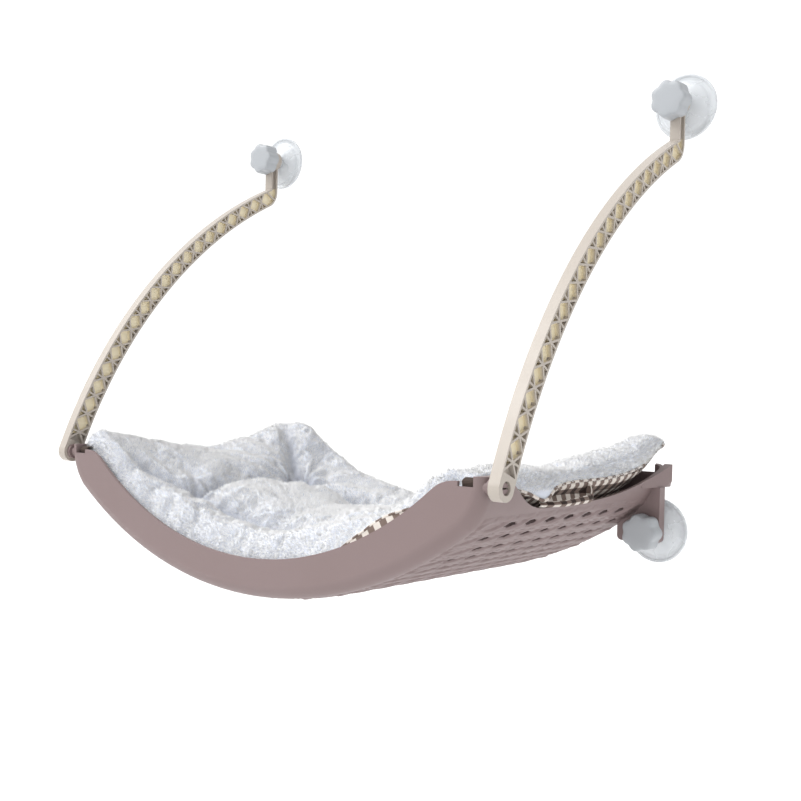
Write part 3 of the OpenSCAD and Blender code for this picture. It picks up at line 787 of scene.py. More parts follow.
@dataclass
class Tray:
    """The moulded tray with the raised strands of its woven-look floor."""

    palette: Palette
    form: TrayForm = field(default_factory=TrayForm)
    step: float = 0.0014
    strand_half_w: float = 0.0026
    strand_rise: float = 0.0010
    cross_rise: float = 0.0007
    swing: float = 0.0070
    filler_swing: float = 0.0026
    sunk: float = 0.0004
    over_edge: float = 0.003
    fade_w: float = 0.004

    def strand(self, across: Array, slope: Array, lift: Array) -> Array:
        """Height of one round strand.

        Args:
            across: distance from the strand's middle line, along the curve.
            slope: how steeply the middle line runs.
            lift: extra height where the strand passes over another.

        Returns:
            The height sqrt(1 - (d / w)^2) times the rise plus the lift, and less than 0 beside the strand.
        """
        d = np.abs(across) / np.sqrt(1.0 + np.square(slope)) / self.strand_half_w
        inside = np.sqrt(np.maximum(1.0 - np.square(d), 0.0))
        return np.where(d < 1.0, self.strand_rise * inside + lift * inside, -self.sunk)

    def relief(self, along_curve: Array, y: Array) -> Array:
        """Height of the weave over the plain underside.

        Two strands swing apart round every slot of a row and cross between the slots, so they follow plus
        and minus a cosine of half a turn per slot. The one that climbs toward the rear passes on top. One
        more strand waves between neighbouring rows.

        Args:
            along_curve: distance round the floor from the middle plane.
            y: distance from the tray's middle, toward the glass.

        Returns:
            Heights in metres.
        """
        form = self.form
        height = np.full_like(y, -self.sunk)
        nearest = np.rint(along_curve / form.row_pitch)
        for step in (-1, 0, 1):
            row = nearest + step
            offset = np.where(row % 2 == 0, form.slot_pitch / 2, 0.0)
            phase = math.pi * (y - offset) / form.slot_pitch
            from_row = along_curve - row * form.row_pitch
            for turn in (-1.0, 1.0):
                line = turn * self.swing * np.cos(phase)
                slope = -turn * self.swing * math.pi / form.slot_pitch * np.sin(phase)
                lift = np.where(slope > 0, self.cross_rise, -self.cross_rise) * np.square(np.sin(phase))
                height = np.maximum(height, self.strand(from_row - line, slope, lift))
            between = from_row - form.row_pitch / 2 - self.filler_swing * np.cos(2 * phase)
            slope = -2 * self.filler_swing * math.pi / form.slot_pitch * np.sin(2 * phase)
            height = np.maximum(height, self.strand(between, slope, np.zeros_like(y)))
        reach = (form.rows + 0.5) * form.row_pitch + self.over_edge
        room = form.length / 2 - form.slot_margin + self.over_edge
        fade = smooth_step((reach - np.abs(along_curve)) / self.fade_w)
        fade = fade * smooth_step((room - np.abs(y)) / self.fade_w)
        return height * fade - (1.0 - fade) * self.sunk

    def make_weave(self) -> bpy.types.Object:
        """The strands as one skin on the floor's underside.

        Points lie on the tray's section, as far proud as the weave is high. Faces that lie wholly under
        the tray's own surface are left out.

        Returns:
            The new piece.
        """
        form = self.form
        half_curve = (form.rows + 0.5) * form.row_pitch + self.fade_w
        half_y = form.length / 2 - form.edge_r
        curve = np.linspace(-half_curve, half_curve, round(2 * half_curve / self.step))
        ys = np.linspace(-half_y, half_y, round(2 * half_y / self.step))
        along, y = np.meshgrid(curve, ys)
        height = self.relief(along, y)
        x, z = form.underside(along, height)
        points = np.stack([x, y + (form.front + form.rear) / 2, form.rim + z], -1)
        faces = grid_faces(*along.shape)
        shown = (height.ravel()[faces] > -self.sunk * 0.5).any(axis=1)
        return make_piece("tray_weave", points, [faces[shown]])

    def build(self, nodes: dict[str, bpy.types.Object]) -> None:
        """Dresses the tray, the legs and the pins, and adds the weave.

        Args:
            nodes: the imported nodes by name.
        """
        for name in ("tray", "leg_left", "leg_right", "pin_left", "pin_right"):
            dress(nodes[name], self.palette.tray)
        weave = dress(self.make_weave(), self.palette.tray)
        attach(weave, "perch")
        LOG.info("tray: weave has %d faces", len(weave.data.polygons))


# Cups, studs, washers and knobs


@dataclass(frozen=True)
class StationForm:
    """Sizes of one cup and of what it clamps, measured from the pane toward the room."""

    upper_x: float = 0.2743
    lower_x: float = 0.2562
    half_span: float = 0.2083
    cup_r: float = 0.0319
    cup_h: float = 0.015
    neck_r: float = 0.0086
    dome_r: float = 0.0245
    dome_h: float = 0.0105
    flange_t: float = 0.0018
    land: float = 0.005
    hollow: float = 0.0026
    stud_r: float = 0.003
    stud_head_r: float = 0.0064
    stud_seat: float = 0.005
    stud_head_t: float = 0.002
    clamp_t: float = 0.011
    washer_t: float = 0.0012
    play: float = 0.0001
    knob_r: float = 0.0185
    knob_h: float = 0.017
    insert_r: float = 0.0046
    insert_h: float = 0.012
    rim_bead: float = 0.0008
    knob_wall: float = 0.0022
    knob_hollow: float = 0.009

    @property
    def knob_base(self) -> float:
        """Distance from the pane to a knob's back."""
        return self.cup_h + self.clamp_t + self.washer_t + 2 * self.play


@dataclass
class Station:
    """One cup with its stud, washer, knob and insert."""

    palette: Palette
    side: Side
    level: Level
    form: StationForm = field(default_factory=StationForm)
    lobes: int = 7
    lobe_rise: float = 0.0021
    cup_segments: int = 96
    knob_segments: int = 168

    @property
    def name(self) -> str:
        """Such as upper_left."""
        return f"{self.level.word}_{self.side.word}"

    @property
    def holder(self) -> str:
        """The body that the cup is on."""
        return f"arm_{self.side.word}" if self.level is Level.UPPER else "perch"

    def revolve(self, name: str, profile: Array, segments: int,
                swell: Callable[[Array, Array], Array] | None = None) -> bpy.types.Object:
        """Turns a closed profile about this station's axis.

        Args:
            name: the piece's name.
            profile: (radius, distance from the pane) points, in order.
            segments: number of steps round the axis.
            swell: changes the radius with the angle, or None.

        Returns:
            The new piece, with its points merged at the axis.
        """
        angle = np.linspace(0, 2 * math.pi, segments, endpoint=False)
        radius = np.repeat(profile[:, :1], segments, 1)
        depth = np.repeat(profile[:, 1:], segments, 1)
        if swell is not None:
            radius = swell(radius, np.broadcast_to(angle, radius.shape))
        x = self.side.value * (self.form.upper_x if self.level is Level.UPPER else self.form.lower_x)
        z = self.level.value * self.form.half_span
        points = np.stack([x + radius * np.cos(angle), -depth, z + radius * np.sin(angle)], -1)
        closed = np.concatenate([points, points[:1]])
        return weld(make_piece(name, closed, [grid_faces(len(closed), segments, wrap_columns=True)]))

    def make_cup(self) -> bpy.types.Object:
        """The cup: sealing land, beaded rim, thin flange, dome with a step, ribbed neck, and its hollow.

        Returns:
            The new piece.
        """
        f = self.form
        bead = f.flange_t + f.rim_bead
        outline = rounded([
            (f.cup_r - f.land, 0.0, 0.0006),
            (f.cup_r, 0.0, 0.0005),
            (f.cup_r, bead, 0.0010),
            (f.cup_r - 0.0022, bead, 0.0008),
            (f.cup_r - 0.0030, f.flange_t, 0.0006),
            (f.dome_r + 0.0006, f.flange_t + 0.0002, 0.0012),
            (f.dome_r - 0.0012, f.flange_t + 0.0022, 0.0010),
            (0.72 * f.dome_r, 0.66 * f.dome_h, 0.0040),
            (0.50 * f.dome_r, 0.86 * f.dome_h, 0.0030),
            (f.neck_r + 0.0014, f.dome_h, 0.0012),
            (f.neck_r - 0.0004, f.dome_h + 0.0006, 0.0006),
            (f.neck_r - 0.0004, f.cup_h - 0.0022, 0.0005),
            (f.neck_r, f.cup_h - 0.0018, 0.0004),
            (f.neck_r, f.cup_h, 0.0005),
            (f.stud_r, f.cup_h, 0.0),
            (f.stud_r, f.stud_seat + f.stud_head_t, 0.0),
            (f.stud_head_r, f.stud_seat + f.stud_head_t, 0.0),
            (f.stud_head_r, f.stud_seat, 0.0),
            (0.0, f.stud_seat, 0.0),
            (0.0, f.hollow, 0.0),
            (0.60 * (f.cup_r - f.land), 0.62 * f.hollow, 0.004),
        ])
        return self.revolve(f"cup_{self.name}_vinyl", outline, self.cup_segments)

    def make_knob(self) -> bpy.types.Object:
        """The star knob: lobes all round, a rounded front edge, a plain face and a hollow back.

        The radius swells by the rise times a raised cosine of the lobe count, which fades to nothing toward
        the axis, so the lobes run out softly over the front edge.

        Returns:
            The new piece.
        """
        f = self.form
        back, front = f.knob_base, f.knob_base + f.knob_h
        outer = f.knob_r - self.lobe_rise
        inner, boss = outer - f.knob_wall, f.insert_r + f.knob_wall
        bore, hollow = back + f.insert_h + 4 * f.play, back + f.knob_hollow
        outline = rounded([
            (inner, back, 0.0004),
            (outer, back, 0.0005),
            (outer, front - 0.0012, 0.0050),
            (outer - 0.0040, front, 0.0040),
            (0.0, front, 0.0),
            (0.0, bore, 0.0),
            (f.insert_r, bore, 0.0),
            (f.insert_r, back, 0.0003),
            (boss, back, 0.0004),
            (boss, hollow, 0.0010),
            (inner, hollow, 0.0010),
        ], steps=8)

        def swell(radius: Array, angle: Array) -> Array:
            """Adds the lobes to the outer wall only."""
            wave = 0.5 + 0.5 * np.cos(self.lobes * angle)
            reach = smooth_step((radius - 0.45 * outer) / (0.55 * outer))
            return radius + self.lobe_rise * reach * wave**0.8

        return self.revolve(f"knob_{self.name}_star", outline, self.knob_segments, swell)

    def build(self, nodes: dict[str, bpy.types.Object]) -> None:
        """Makes the cup and the knob, and dresses the stud, the washer and the insert.

        Args:
            nodes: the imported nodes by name.
        """
        cup = dress(self.make_cup(), self.palette.cup)
        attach(cup, self.holder)
        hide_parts(f"cup_{self.name}")
        knob = dress(self.make_knob(), self.palette.knob)
        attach(knob, f"knob_{self.name}")
        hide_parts(f"knob_{self.name}")
        dress(nodes[f"stud_{self.name}"], self.palette.steel)
        dress(nodes[f"washer_{self.name}"], self.palette.washer)
        dress(nodes[f"insert_{self.name}"], self.palette.brass)
        LOG.info("station %s: cup %d faces, knob %d faces", self.name, len(cup.data.polygons),
                 len(knob.data.polygons))


# The mat


def cubic_weights(coarse: int, fine: int) -> Array:
    """Weights that carry values from a coarse even row of points to a finer one.

    Each fine point takes its four nearest coarse values with the weights of the cubic through the middle
    two whose slopes are half the difference of their neighbours.

    Args:
        coarse: number of coarse points.
        fine: number of fine points.

    Returns:
        An array of shape (fine, coarse) whose rows add up to 1.
    """
    place = np.linspace(0, coarse - 1, fine)
    cell = np.minimum(place.astype(int), coarse - 2)
    t = place - cell
    parts = (
        (-1, 0.5 * (-t + 2 * t**2 - t**3)),
        (0, 0.5 * (2 - 5 * t**2 + 3 * t**3)),
        (1, 0.5 * (t + 4 * t**2 - 3 * t**3)),
        (2, 0.5 * (t**3 - t**2)),
    )
    weights = np.zeros((fine, coarse))
    for step, value in parts:
        np.add.at(weights, (np.arange(fine), np.clip(cell + step, 0, coarse - 1)), value)
    return weights


def grid_normals(points: Array) -> Array:
    """Upward unit normals of a grid of points, from the cross product of its two directions.

    Args:
        points: array of shape (rows, columns, 3).

    Returns:
        One unit vector per point. Where the grid shrinks to nothing at a corner, the normal points up.
    """
    normals = np.cross(np.gradient(points, axis=1), np.gradient(points, axis=0))
    length = np.linalg.norm(normals, axis=-1, keepdims=True)
    return np.where(length > 1e-12, normals / np.maximum(length, 1e-12), np.array([0.0, 0.0, 1.0]))


@dataclass(frozen=True)
class MatForm:
    """The mat's shape: a quilted panel in a puffed border, in the tray's curve."""

    tray: TrayForm = field(default_factory=TrayForm)
    half_w: float = 0.2595
    clear: float = 0.0020
    lie: float = 0.0018
    top: float = 0.0610
    side_rise: float = 0.0080
    side_drop: float = 0.019
    end_draw: float = 0.012
    side_draw: float = 0.003
    front_corner_draw: float = 0.04
    rear_corner_draw: float = 0.0
    bulge: float = 0.004
    panel_half_w: float = 0.140
    front_border: float = 0.056
    rear_border: float = 0.090
    seam_h: float = 0.0115
    seam_half_w: float = 0.0110
    stitch_h: float = 0.0055
    stitch_w: float = 0.0042
    rear_rise: float = 0.014
    left_fold: tuple[float, float, float] = (0.034, 0.79, 0.21)
    right_fold: tuple[float, float, float] = (0.021, 0.95, 0.17)
    front_rise: float = 0.026
    hump_at: float = 0.87
    hump_width: float = 0.15
    front_sink: float = 0.007
    front_roll: float = 0.034
    roll_ease: float = 0.82
    rear_roll: float = 0.010
    pit_h: float = 0.024
    pit_r: float = 0.013
    pleat_h: float = 0.0036
    pleat_reach: float = 0.034
    pleat_w: float = 0.020
    turn_u: float = 0.925
    turn_v: float = 0.90
    gingham_h: float = 0.011
    side_gingham_h: float = 0.006
    right_lean: float = 0.010
    left_lean: float = 0.009
    hang: float = 0.010
    front_lift: float = 0.021
    roll_start: float = 0.84

    @property
    def half_d(self) -> float:
        """Half of the mat's depth from front to rear."""
        return self.tray.length / 2 - self.tray.wall - self.clear

    @property
    def panel_mid(self) -> float:
        """How far the panel's middle lies behind the mat's middle."""
        return (self.front_border - self.rear_border) / 2

    @property
    def panel_half_d(self) -> float:
        """Half of the panel's depth from front to rear."""
        return self.half_d - (self.front_border + self.rear_border) / 2

    def edge(self, share: Array, start: float) -> tuple[Array, Array]:
        """Where a grid line lies in plan, and how far the edge has turned there.

        Args:
            share: -1 to 1 across the mat.
            start: where the edge starts to turn.

        Returns:
            The place as a share, which follows a sine past the start, and the turn from 0 to 1.
        """
        turn = np.clip((np.abs(share) - start) / (1 - start), 0, 1)
        turned = start + (1 - start) * np.sin(turn * math.pi / 2)
        return np.sign(share) * np.where(np.abs(share) > start, turned, np.abs(share)), turn

    def shares(self, p: Array, q: Array) -> tuple[Array, Array]:
        """Where grid places lie in plan, as shares across and along."""
        return self.edge(p, self.turn_u)[0], self.edge(q, self.turn_v)[0]

    def plan(self, u: Array, v: Array) -> tuple[Array, Array]:
        """X and Y of a place on the mat, with the corners drawn in by the sixth power of the share."""
        draw = np.where(v < 0, self.front_corner_draw, self.rear_corner_draw)
        x = self.half_w * u * (1 - draw * v**6)
        middle = (self.tray.front + self.tray.rear) / 2
        return x, middle + self.half_d * v * (1 - draw * u**6)

    def fold(self, u: Array, v: Array) -> Array:
        """The fold in each rear corner: a bell across times the cube of the share toward the rear."""
        rise, middle, width = (np.where(u > 0, r, l) for r, l in zip(self.right_fold, self.left_fold))
        return rise * bump((np.abs(u) - middle) / width, 1.0) * np.maximum(v, 0) ** 3

    def lean(self, u: Array, v: Array) -> Array:
        """How far the mat has shifted toward the right, as a height.

        Bells along the sides lift the right side behind its middle and lower it at the front, and lower the
        left side at its middle and lift it at the front.

        Args:
            u: share across.
            v: share along.

        Returns:
            Heights in metres.
        """
        outer = bump(v + 0.9, 0.3) * smooth_step((np.abs(u) - 0.86) / 0.08)
        right = self.right_lean * (bump(v - 0.5, 0.5) - 0.9 * outer)
        left = 0.55 * self.left_lean * bump(v + 0.7, 0.3) - self.left_lean * bump(v - 0.05, 0.3)
        return np.where(u > 0, right, left) * smooth_step((np.abs(u) - 0.65) / 0.3)

    def hump(self, u: Array, v: Array) -> Array:
        """The hump in each front corner: a bell across times the cube of the share toward the front."""
        return self.front_rise * bump(np.abs(u) - self.hump_at, self.hump_width) * np.maximum(-v, 0) ** 3

    def low(self, u: Array, v: Array) -> Array:
        """Height of the underside over the rim.

        It follows the floor under the panel and climbs evenly past it to the sides. High powers of the
        shares lift the ends and the sides' edges a little more, and the folds lift the rear corners.

        Args:
            u: share across.
            v: share along.

        Returns:
            Heights in metres.
        """
        x = np.abs(self.plan(u, v)[0])
        lie = self.tray.floor_top(np.minimum(x, self.panel_half_w)) + self.lie
        lift = np.maximum(x - self.panel_half_w, 0) / (self.half_w - self.panel_half_w)
        draw = self.end_draw * v**8 + self.side_draw * u**10
        return lie - lift * (self.side_drop + lie) + draw + self.fold(u, v) * u * u

    def from_seams(self, u: Array, v: Array) -> tuple[Array, Array]:
        """Distances past the panel's side seams and past its end seams, less than 0 inside the panel."""
        from_side = np.abs(self.half_w * u) - self.panel_half_w
        return from_side, np.abs(self.half_d * v - self.panel_mid) - self.panel_half_d

    def seams(self, u: Array, v: Array, width: float) -> Array:
        """How strongly the quilting seams hold a place down.

        The seams run round the panel, and a mitre runs from each panel corner out to the mat's corner. Each
        is a bell across its line.

        Args:
            u: share across.
            v: share along.
            width: the bell's width in metres.

        Returns:
            1 on a seam and 0 far from it.
        """
        from_side, from_end = self.from_seams(u, v)
        side_w = self.half_w - self.panel_half_w
        border = np.where(v < 0, self.front_border, self.rear_border)
        beside = np.where(from_end > 0, 0.0, bump(from_side, width))
        along = np.where(from_side > 0, 0.0, bump(from_end, width))
        outside = (from_side > 0) & (from_end > 0)
        off = (from_side / side_w - from_end / border) * 0.5 * (side_w + border) * 0.75
        fade = 1.0 - 0.75 * smooth_step((from_side / side_w - 0.15) / 0.75)
        mitre = np.where(outside, fade * bump(off, width * 1.2), 0.0)
        return np.maximum(np.maximum(beside, along), mitre)

    def pits(self, u: Array, v: Array) -> Array:
        """The panel's corners, pulled in deep: a bell round each, deepest at the rear left."""
        from_side, from_end = self.from_seams(u, v)
        deep = np.where(v > 0, np.where(u < 0, 1.0, 0.75), 0.35)
        return deep * bump(np.hypot(from_side, from_end), self.pit_r)

    def hollow(self, u: Array, v: Array) -> Array:
        """How deep in a seam, a pit or a gather a place lies, from 0 to 1: the sum of their own bells, which
        the pile takes as painted shade.
        """
        gathers = np.clip(-self.pleats(u, v) / self.pleat_h, 0, 1)
        return np.clip(0.55 * self.seams(u, v, 0.0045) + 1.3 * self.pits(u, v) + 0.25 * gathers, 0, 1)

    def pleats(self, u: Array, v: Array) -> Array:
        """Gathers that run out from the seams and from the panel's corners.

        A smooth noise along the seams gives ridges and hollows, and waves round each panel corner give
        rays. Both die away exponentially from the seam or the corner.

        Args:
            u: share across.
            v: share along.

        Returns:
            Heights in metres.
        """
        from_side, from_end = self.from_seams(u, v)
        distance = np.abs(np.maximum(from_side, from_end))
        end_first = from_end > from_side
        along = np.where(end_first, self.half_w * u, self.half_d * v + 0.4)
        line = together(along, distance * 0.18, np.sign(v) * 0.3 + np.sign(u) * 0.1)
        wave = Grain(self.pleat_w, seed=11, octaves=2).at(line)
        gathers = wave * np.exp(-distance / self.pleat_reach) * smooth_step(distance / 0.006)
        reach = np.hypot(from_side, from_end)
        turn = np.arctan2(from_end, from_side)
        wobble = Grain(0.045, seed=17).at(together(self.half_w * u, self.half_d * v, 0.0))
        rays = np.cos(11 * turn + 2.4 * wobble) * np.exp(-reach / 0.055) * smooth_step(reach / 0.016)
        rear = np.where(v > 0, 1.0, 0.5)
        return self.pleat_h * (gathers + 1.25 * rays * rear)

    def high(self, u: Array, v: Array) -> Array:
        """Height of the top over the rim, without its seams.

        The crown climbs from the middle with the power 1.5 of the share across. The rear rises with the
        cube of the share along, the ends roll down as quarter circles, and the front border sinks a little.
        The folds, the humps and the shift to the right are added.

        Args:
            u: share across.
            v: share along.

        Returns:
            Heights in metres.
        """
        middle = -self.tray.depth + self.tray.wall + self.top
        crown = middle + (self.side_rise - middle) * np.abs(u) ** 1.5
        end = np.where(v < 0, self.front_roll * (1 - self.roll_ease * u * u), self.rear_roll)
        past = np.maximum(np.abs(v) - self.roll_start, 0) / (1 - self.roll_start)
        roll = end * (1 - np.sqrt(1 - np.square(past)))
        sink = self.front_sink * smooth_step((-v - 0.58) / 0.22) * (1 - u * u)
        rear = self.rear_rise * np.maximum(v, 0) ** 3
        return crown + rear + self.fold(u, v) + self.hump(u, v) + self.lean(u, v) - roll - sink

    def seam_line(self, u: Array, v: Array) -> Array:
        """Height over the rim where the plush and the checked underlay meet at the edge.

        It is half way up, or the width of the underlay's band where that is less. The band narrows toward
        the sides and their front ends, and the line rises in a bell before the right front corner.

        Args:
            u: share across.
            v: share along.

        Returns:
            Heights in metres.
        """
        low = self.low(u, v)
        right_front = self.front_lift * bump(u - 0.60, 0.20) * smooth_step((-v - 0.8) / 0.2)
        side = smooth_step((np.abs(u) - 0.8) / 0.15)
        band = self.gingham_h + (self.side_gingham_h - self.gingham_h) * side
        band = band * (1 - 0.5 * side * smooth_step(-v / 0.5))
        return low + np.minimum(0.5 * (self.high(u, v) - low), band) + right_front

    def surface(self, p: Array, q: Array, top: bool) -> Array:
        """Points of the top or the underside, each turned over at the edge to meet at the seam line.

        The height goes from the surface to the seam line with the cosine of the edge's turn, while the
        plan follows the sine, so the edge is a quarter of an ellipse. At a corner the two turns add up as
        the fourth root of their fourth powers. Over the rim the sides and corners of the top bulge out with
        the sine of the turn, more so at the rear right. In the right rim's dip the edge hangs down and out,
        as a bell along the side.

        Args:
            p: -1 to 1 from left to right.
            q: -1 to 1 from front to rear.
            top: True for the plush top and False for the underside.

        Returns:
            Points in the perch's frame.
        """
        u, turn_u = self.edge(p, self.turn_u)
        v, turn_v = self.edge(q, self.turn_v)
        x, y = self.plan(u, v)
        turn = np.cos(np.clip((turn_u**4 + turn_v**4) ** 0.25, 0, 1) * math.pi / 2)
        line = self.seam_line(u, v)
        skin = self.high(u, v) if top else self.low(u, v)
        z = line + (skin - line) * turn
        if top:
            over = self.bulge * smooth_step((z + 0.002) / 0.008)
            rear_right = np.where(u > 0, smooth_step((v - 0.2) / 0.5), 0.0)
            x = x + np.sign(u) * over * (1 + 1.1 * rear_right) * np.sin(turn_u * math.pi)
            y = y + np.sign(v) * over * 0.9 * np.sin(turn_v * math.pi) * smooth_step((np.abs(u) - 0.8) / 0.1)
        hang = np.where(u > 0, bump(v + 0.46, 0.13), 0.0) * smooth_step((turn_u - 0.5) / 0.5)
        x = x + 0.5 * self.hang * hang
        return np.stack([x, y, self.tray.rim + z - self.hang * hang], -1)


@dataclass(frozen=True)
class FoldForm:
    """The loose fold over the right rim: its ends, its loop, and how tall it stands."""

    front: float = -0.226
    turn: float = -0.155
    way_back: float = 0.060
    loop_r: float = 0.0050
    middle_x: float = 0.2600
    closer: float = 0.002
    over_rim: float = 0.0010
    hem_rise: float = 0.003
    tall: float = 0.0037
    run_rise: float = 0.0030
    curl_rise: float = 0.0090
    bulge: float = 0.0022
    map_h: float = 0.017


@dataclass(frozen=True)
class ClothForm:
    """How the top is puffed up: the cloth's values, its start under the surface and what holds it."""

    step: float = 0.0062
    frames: int = 20
    quality: int = 6
    mass: float = 0.25
    stretch: float = 12.0
    shear: float = 4.0
    bend: float = 0.25
    pressure: float = 4.0
    slack: float = 0.07
    start_gap: float = 0.003
    jitter: float = 0.0002
    held_w: float = 0.006
    held_from: float = 0.45
    fade_w: float = 0.08
    cap: float = 0.0055


@dataclass
class Mat:
    """The plush mat: padded core, pile, checked underlay, seam piping, a loose fold and corner straps."""

    palette: Palette
    form: MatForm = field(default_factory=MatForm)
    fold: FoldForm = field(default_factory=FoldForm)
    cloth: ClothForm = field(default_factory=ClothForm)
    step: float = 0.0022
    underlay_step: float = 0.00496
    tufts: int = 62_000
    patches: int = 4
    pile: float = 0.0044
    tuft_r: float = 0.00036
    tuft_root: float = 0.0008
    tuft_angles: tuple[float, float, float] = (0.0, 2.094, 4.189)
    soft_rise: float = 0.0014
    clump_rise: float = 0.0003
    cloth_t: float = 0.0008
    strap_t: float = 0.0010
    # Painted shade between the spikes: brightness of each spike's three root corners and its tip.
    tuft_bright: tuple[float, ...] = (0.8, 0.8, 0.8, 1.0)
    # Painted shade in the skin's hollows: how much the hollows darken each corner of a spike.
    tuft_darken: tuple[float, ...] = (0.8, 0.8, 0.8, 0.95)
    skin_points: Array = field(init=False)
    skin_normals: Array = field(init=False)
    skin_shade: Array = field(init=False)
    flat: tuple[float, float] = field(init=False)
    fold_flat: tuple[float, float] = field(init=False)
    strap_flat: tuple[float, float] = field(init=False)

    def grid(self, step: float) -> tuple[Array, Array]:
        """Two arrays of shares that cover the mat evenly.

        Args:
            step: distance between neighbouring points, in metres.

        Returns:
            Shares from -1 to 1 across and along, each of shape (rows, columns).
        """
        columns = np.linspace(-1, 1, round(2 * self.form.half_w / step))
        rows = np.linspace(-1, 1, round(2 * self.form.half_d / step))
        return np.meshgrid(columns, rows)

    def swell(self) -> Array:
        """Puffs the top up by cloth simulation and measures how far each place moved.

        The closed mat is simulated on a coarse grid under inner pressure and without gravity, as a cloth
        that is a little too large for itself. The underside, the edge and the seams are pinned, so the
        top puffs up and wrinkles between them. Each movement is shortened softly to the cap, as
        d / sqrt(1 + (d / cap)^2).

        Returns:
            Movements of the coarse top grid, of shape (rows, columns, 3).
        """
        form = self.cloth
        p, q = self.grid(form.step)
        u, v = self.form.shares(p, q)
        held = self.form.seams(u, v, form.held_w) > form.held_from
        drop = self.form.seams(u, v, self.form.seam_half_w) * self.form.seam_h
        top = self.form.surface(p, q, top=True) - together(0.0, 0.0, drop)
        start = top - grid_normals(top) * form.start_gap
        low = self.form.surface(p, q, top=False)
        rim = (np.abs(p) > 0.999) | (np.abs(q) > 0.999)
        start[rim] = low[rim]
        rows, columns = p.shape
        inside = ~rim
        number = np.arange(rows * columns).reshape(rows, columns)
        lower = np.where(rim, number, 0)
        lower[inside] = rows * columns + np.arange(inside.sum())
        quads = grid_faces(rows, columns)
        points = np.concatenate([start.reshape(-1, 3), low[inside]])
        piece = make_piece("swell_work", points, [quads, lower.ravel()[quads][:, ::-1]])
        chance = np.random.default_rng(3).normal(0, form.jitter, (rows * columns, 3))
        group = piece.vertex_groups.new(name="held")
        group.add(np.flatnonzero((held | rim).ravel()).tolist(), 1.0, "REPLACE")
        group.add(list(range(rows * columns, len(points))), 1.0, "REPLACE")
        moved = points.copy()
        moved[: rows * columns] += np.where((held | rim).reshape(-1, 1), 0.0, chance)
        piece.data.vertices.foreach_set("co", moved.astype(np.float32).ravel())
        cloth = piece.modifiers.new("cloth", "CLOTH")
        settings = cloth.settings
        settings.quality, settings.mass = form.quality, form.mass
        settings.tension_stiffness = settings.compression_stiffness = form.stretch
        settings.shear_stiffness, settings.bending_stiffness = form.shear, form.bend
        settings.use_pressure, settings.uniform_pressure_force = True, form.pressure
        settings.shrink_min = -form.slack
        settings.vertex_group_mass = "held"
        settings.pin_stiffness = 1.0
        settings.effector_weights.gravity = 0.0
        scene = bpy.context.scene
        for frame in range(1, form.frames + 1):
            scene.frame_set(frame)
        shape = piece.evaluated_get(bpy.context.evaluated_depsgraph_get())
        flat = np.empty(len(points) * 3, np.float32)
        shape.data.vertices.foreach_get("co", flat)
        scene.frame_set(1)
        bpy.data.objects.remove(piece)
        move = flat.reshape(-1, 3)[: rows * columns].reshape(top.shape) - top
        length = np.linalg.norm(move, axis=-1, keepdims=True)
        fade = smooth_step((1 - np.maximum(np.abs(p), np.abs(q))) / form.fade_w)[..., None]
        LOG.info("mat: cloth moved %.1f mm at most", 1000 * length.max())
        return fade * move / np.sqrt(1 + np.square(length / form.cap))

    def make_core(self) -> bpy.types.Object:
        """The padded core: a closed skin with its swelling, seams, pits, gathers and pressed clumps.

        Returns:
            The new piece, joined along its edge.
        """
        form = self.form
        p, q = self.grid(self.step)
        u, v = form.shares(p, q)
        top = form.surface(p, q, top=True)
        move = self.swell()
        down, across = (cubic_weights(c, f) for c, f in zip(move.shape[:2], p.shape))
        top = top + np.einsum("fr,rcx,gc->fgx", down, move, across)
        inner = smooth_step((1 - np.maximum(np.abs(p), np.abs(q))) / 0.05)
        drop = form.seam_h * form.seams(u, v, form.seam_half_w)
        drop = drop + form.stitch_h * form.seams(u, v, form.stitch_w)
        drop = drop + form.pit_h * form.pits(u, v) - form.pleats(u, v)
        soft = Grain(0.05, seed=5, octaves=3).at(together(u * 0.26, v * 0.155, 0.0)) * self.soft_rise
        top = top + together(0.0, 0.0, inner * (soft - drop))
        clumps = Grain(0.0040, seed=21, octaves=2).at(top) * self.clump_rise * inner
        top = top + grid_normals(top) * clumps[..., None]
        self.skin_points, self.skin_normals = top, grid_normals(top)
        # Painted shade: the seams, pits and gathers darken the pile that stands on them.
        self.skin_shade = form.hollow(u, v)
        low = form.surface(p, q, top=False)
        points = np.concatenate([top.reshape(-1, 3), low.reshape(-1, 3)])
        quads = grid_faces(*p.shape)
        return weld(make_piece("mat_plush", points, [quads, quads[:, ::-1] + p.size]), 2e-5)

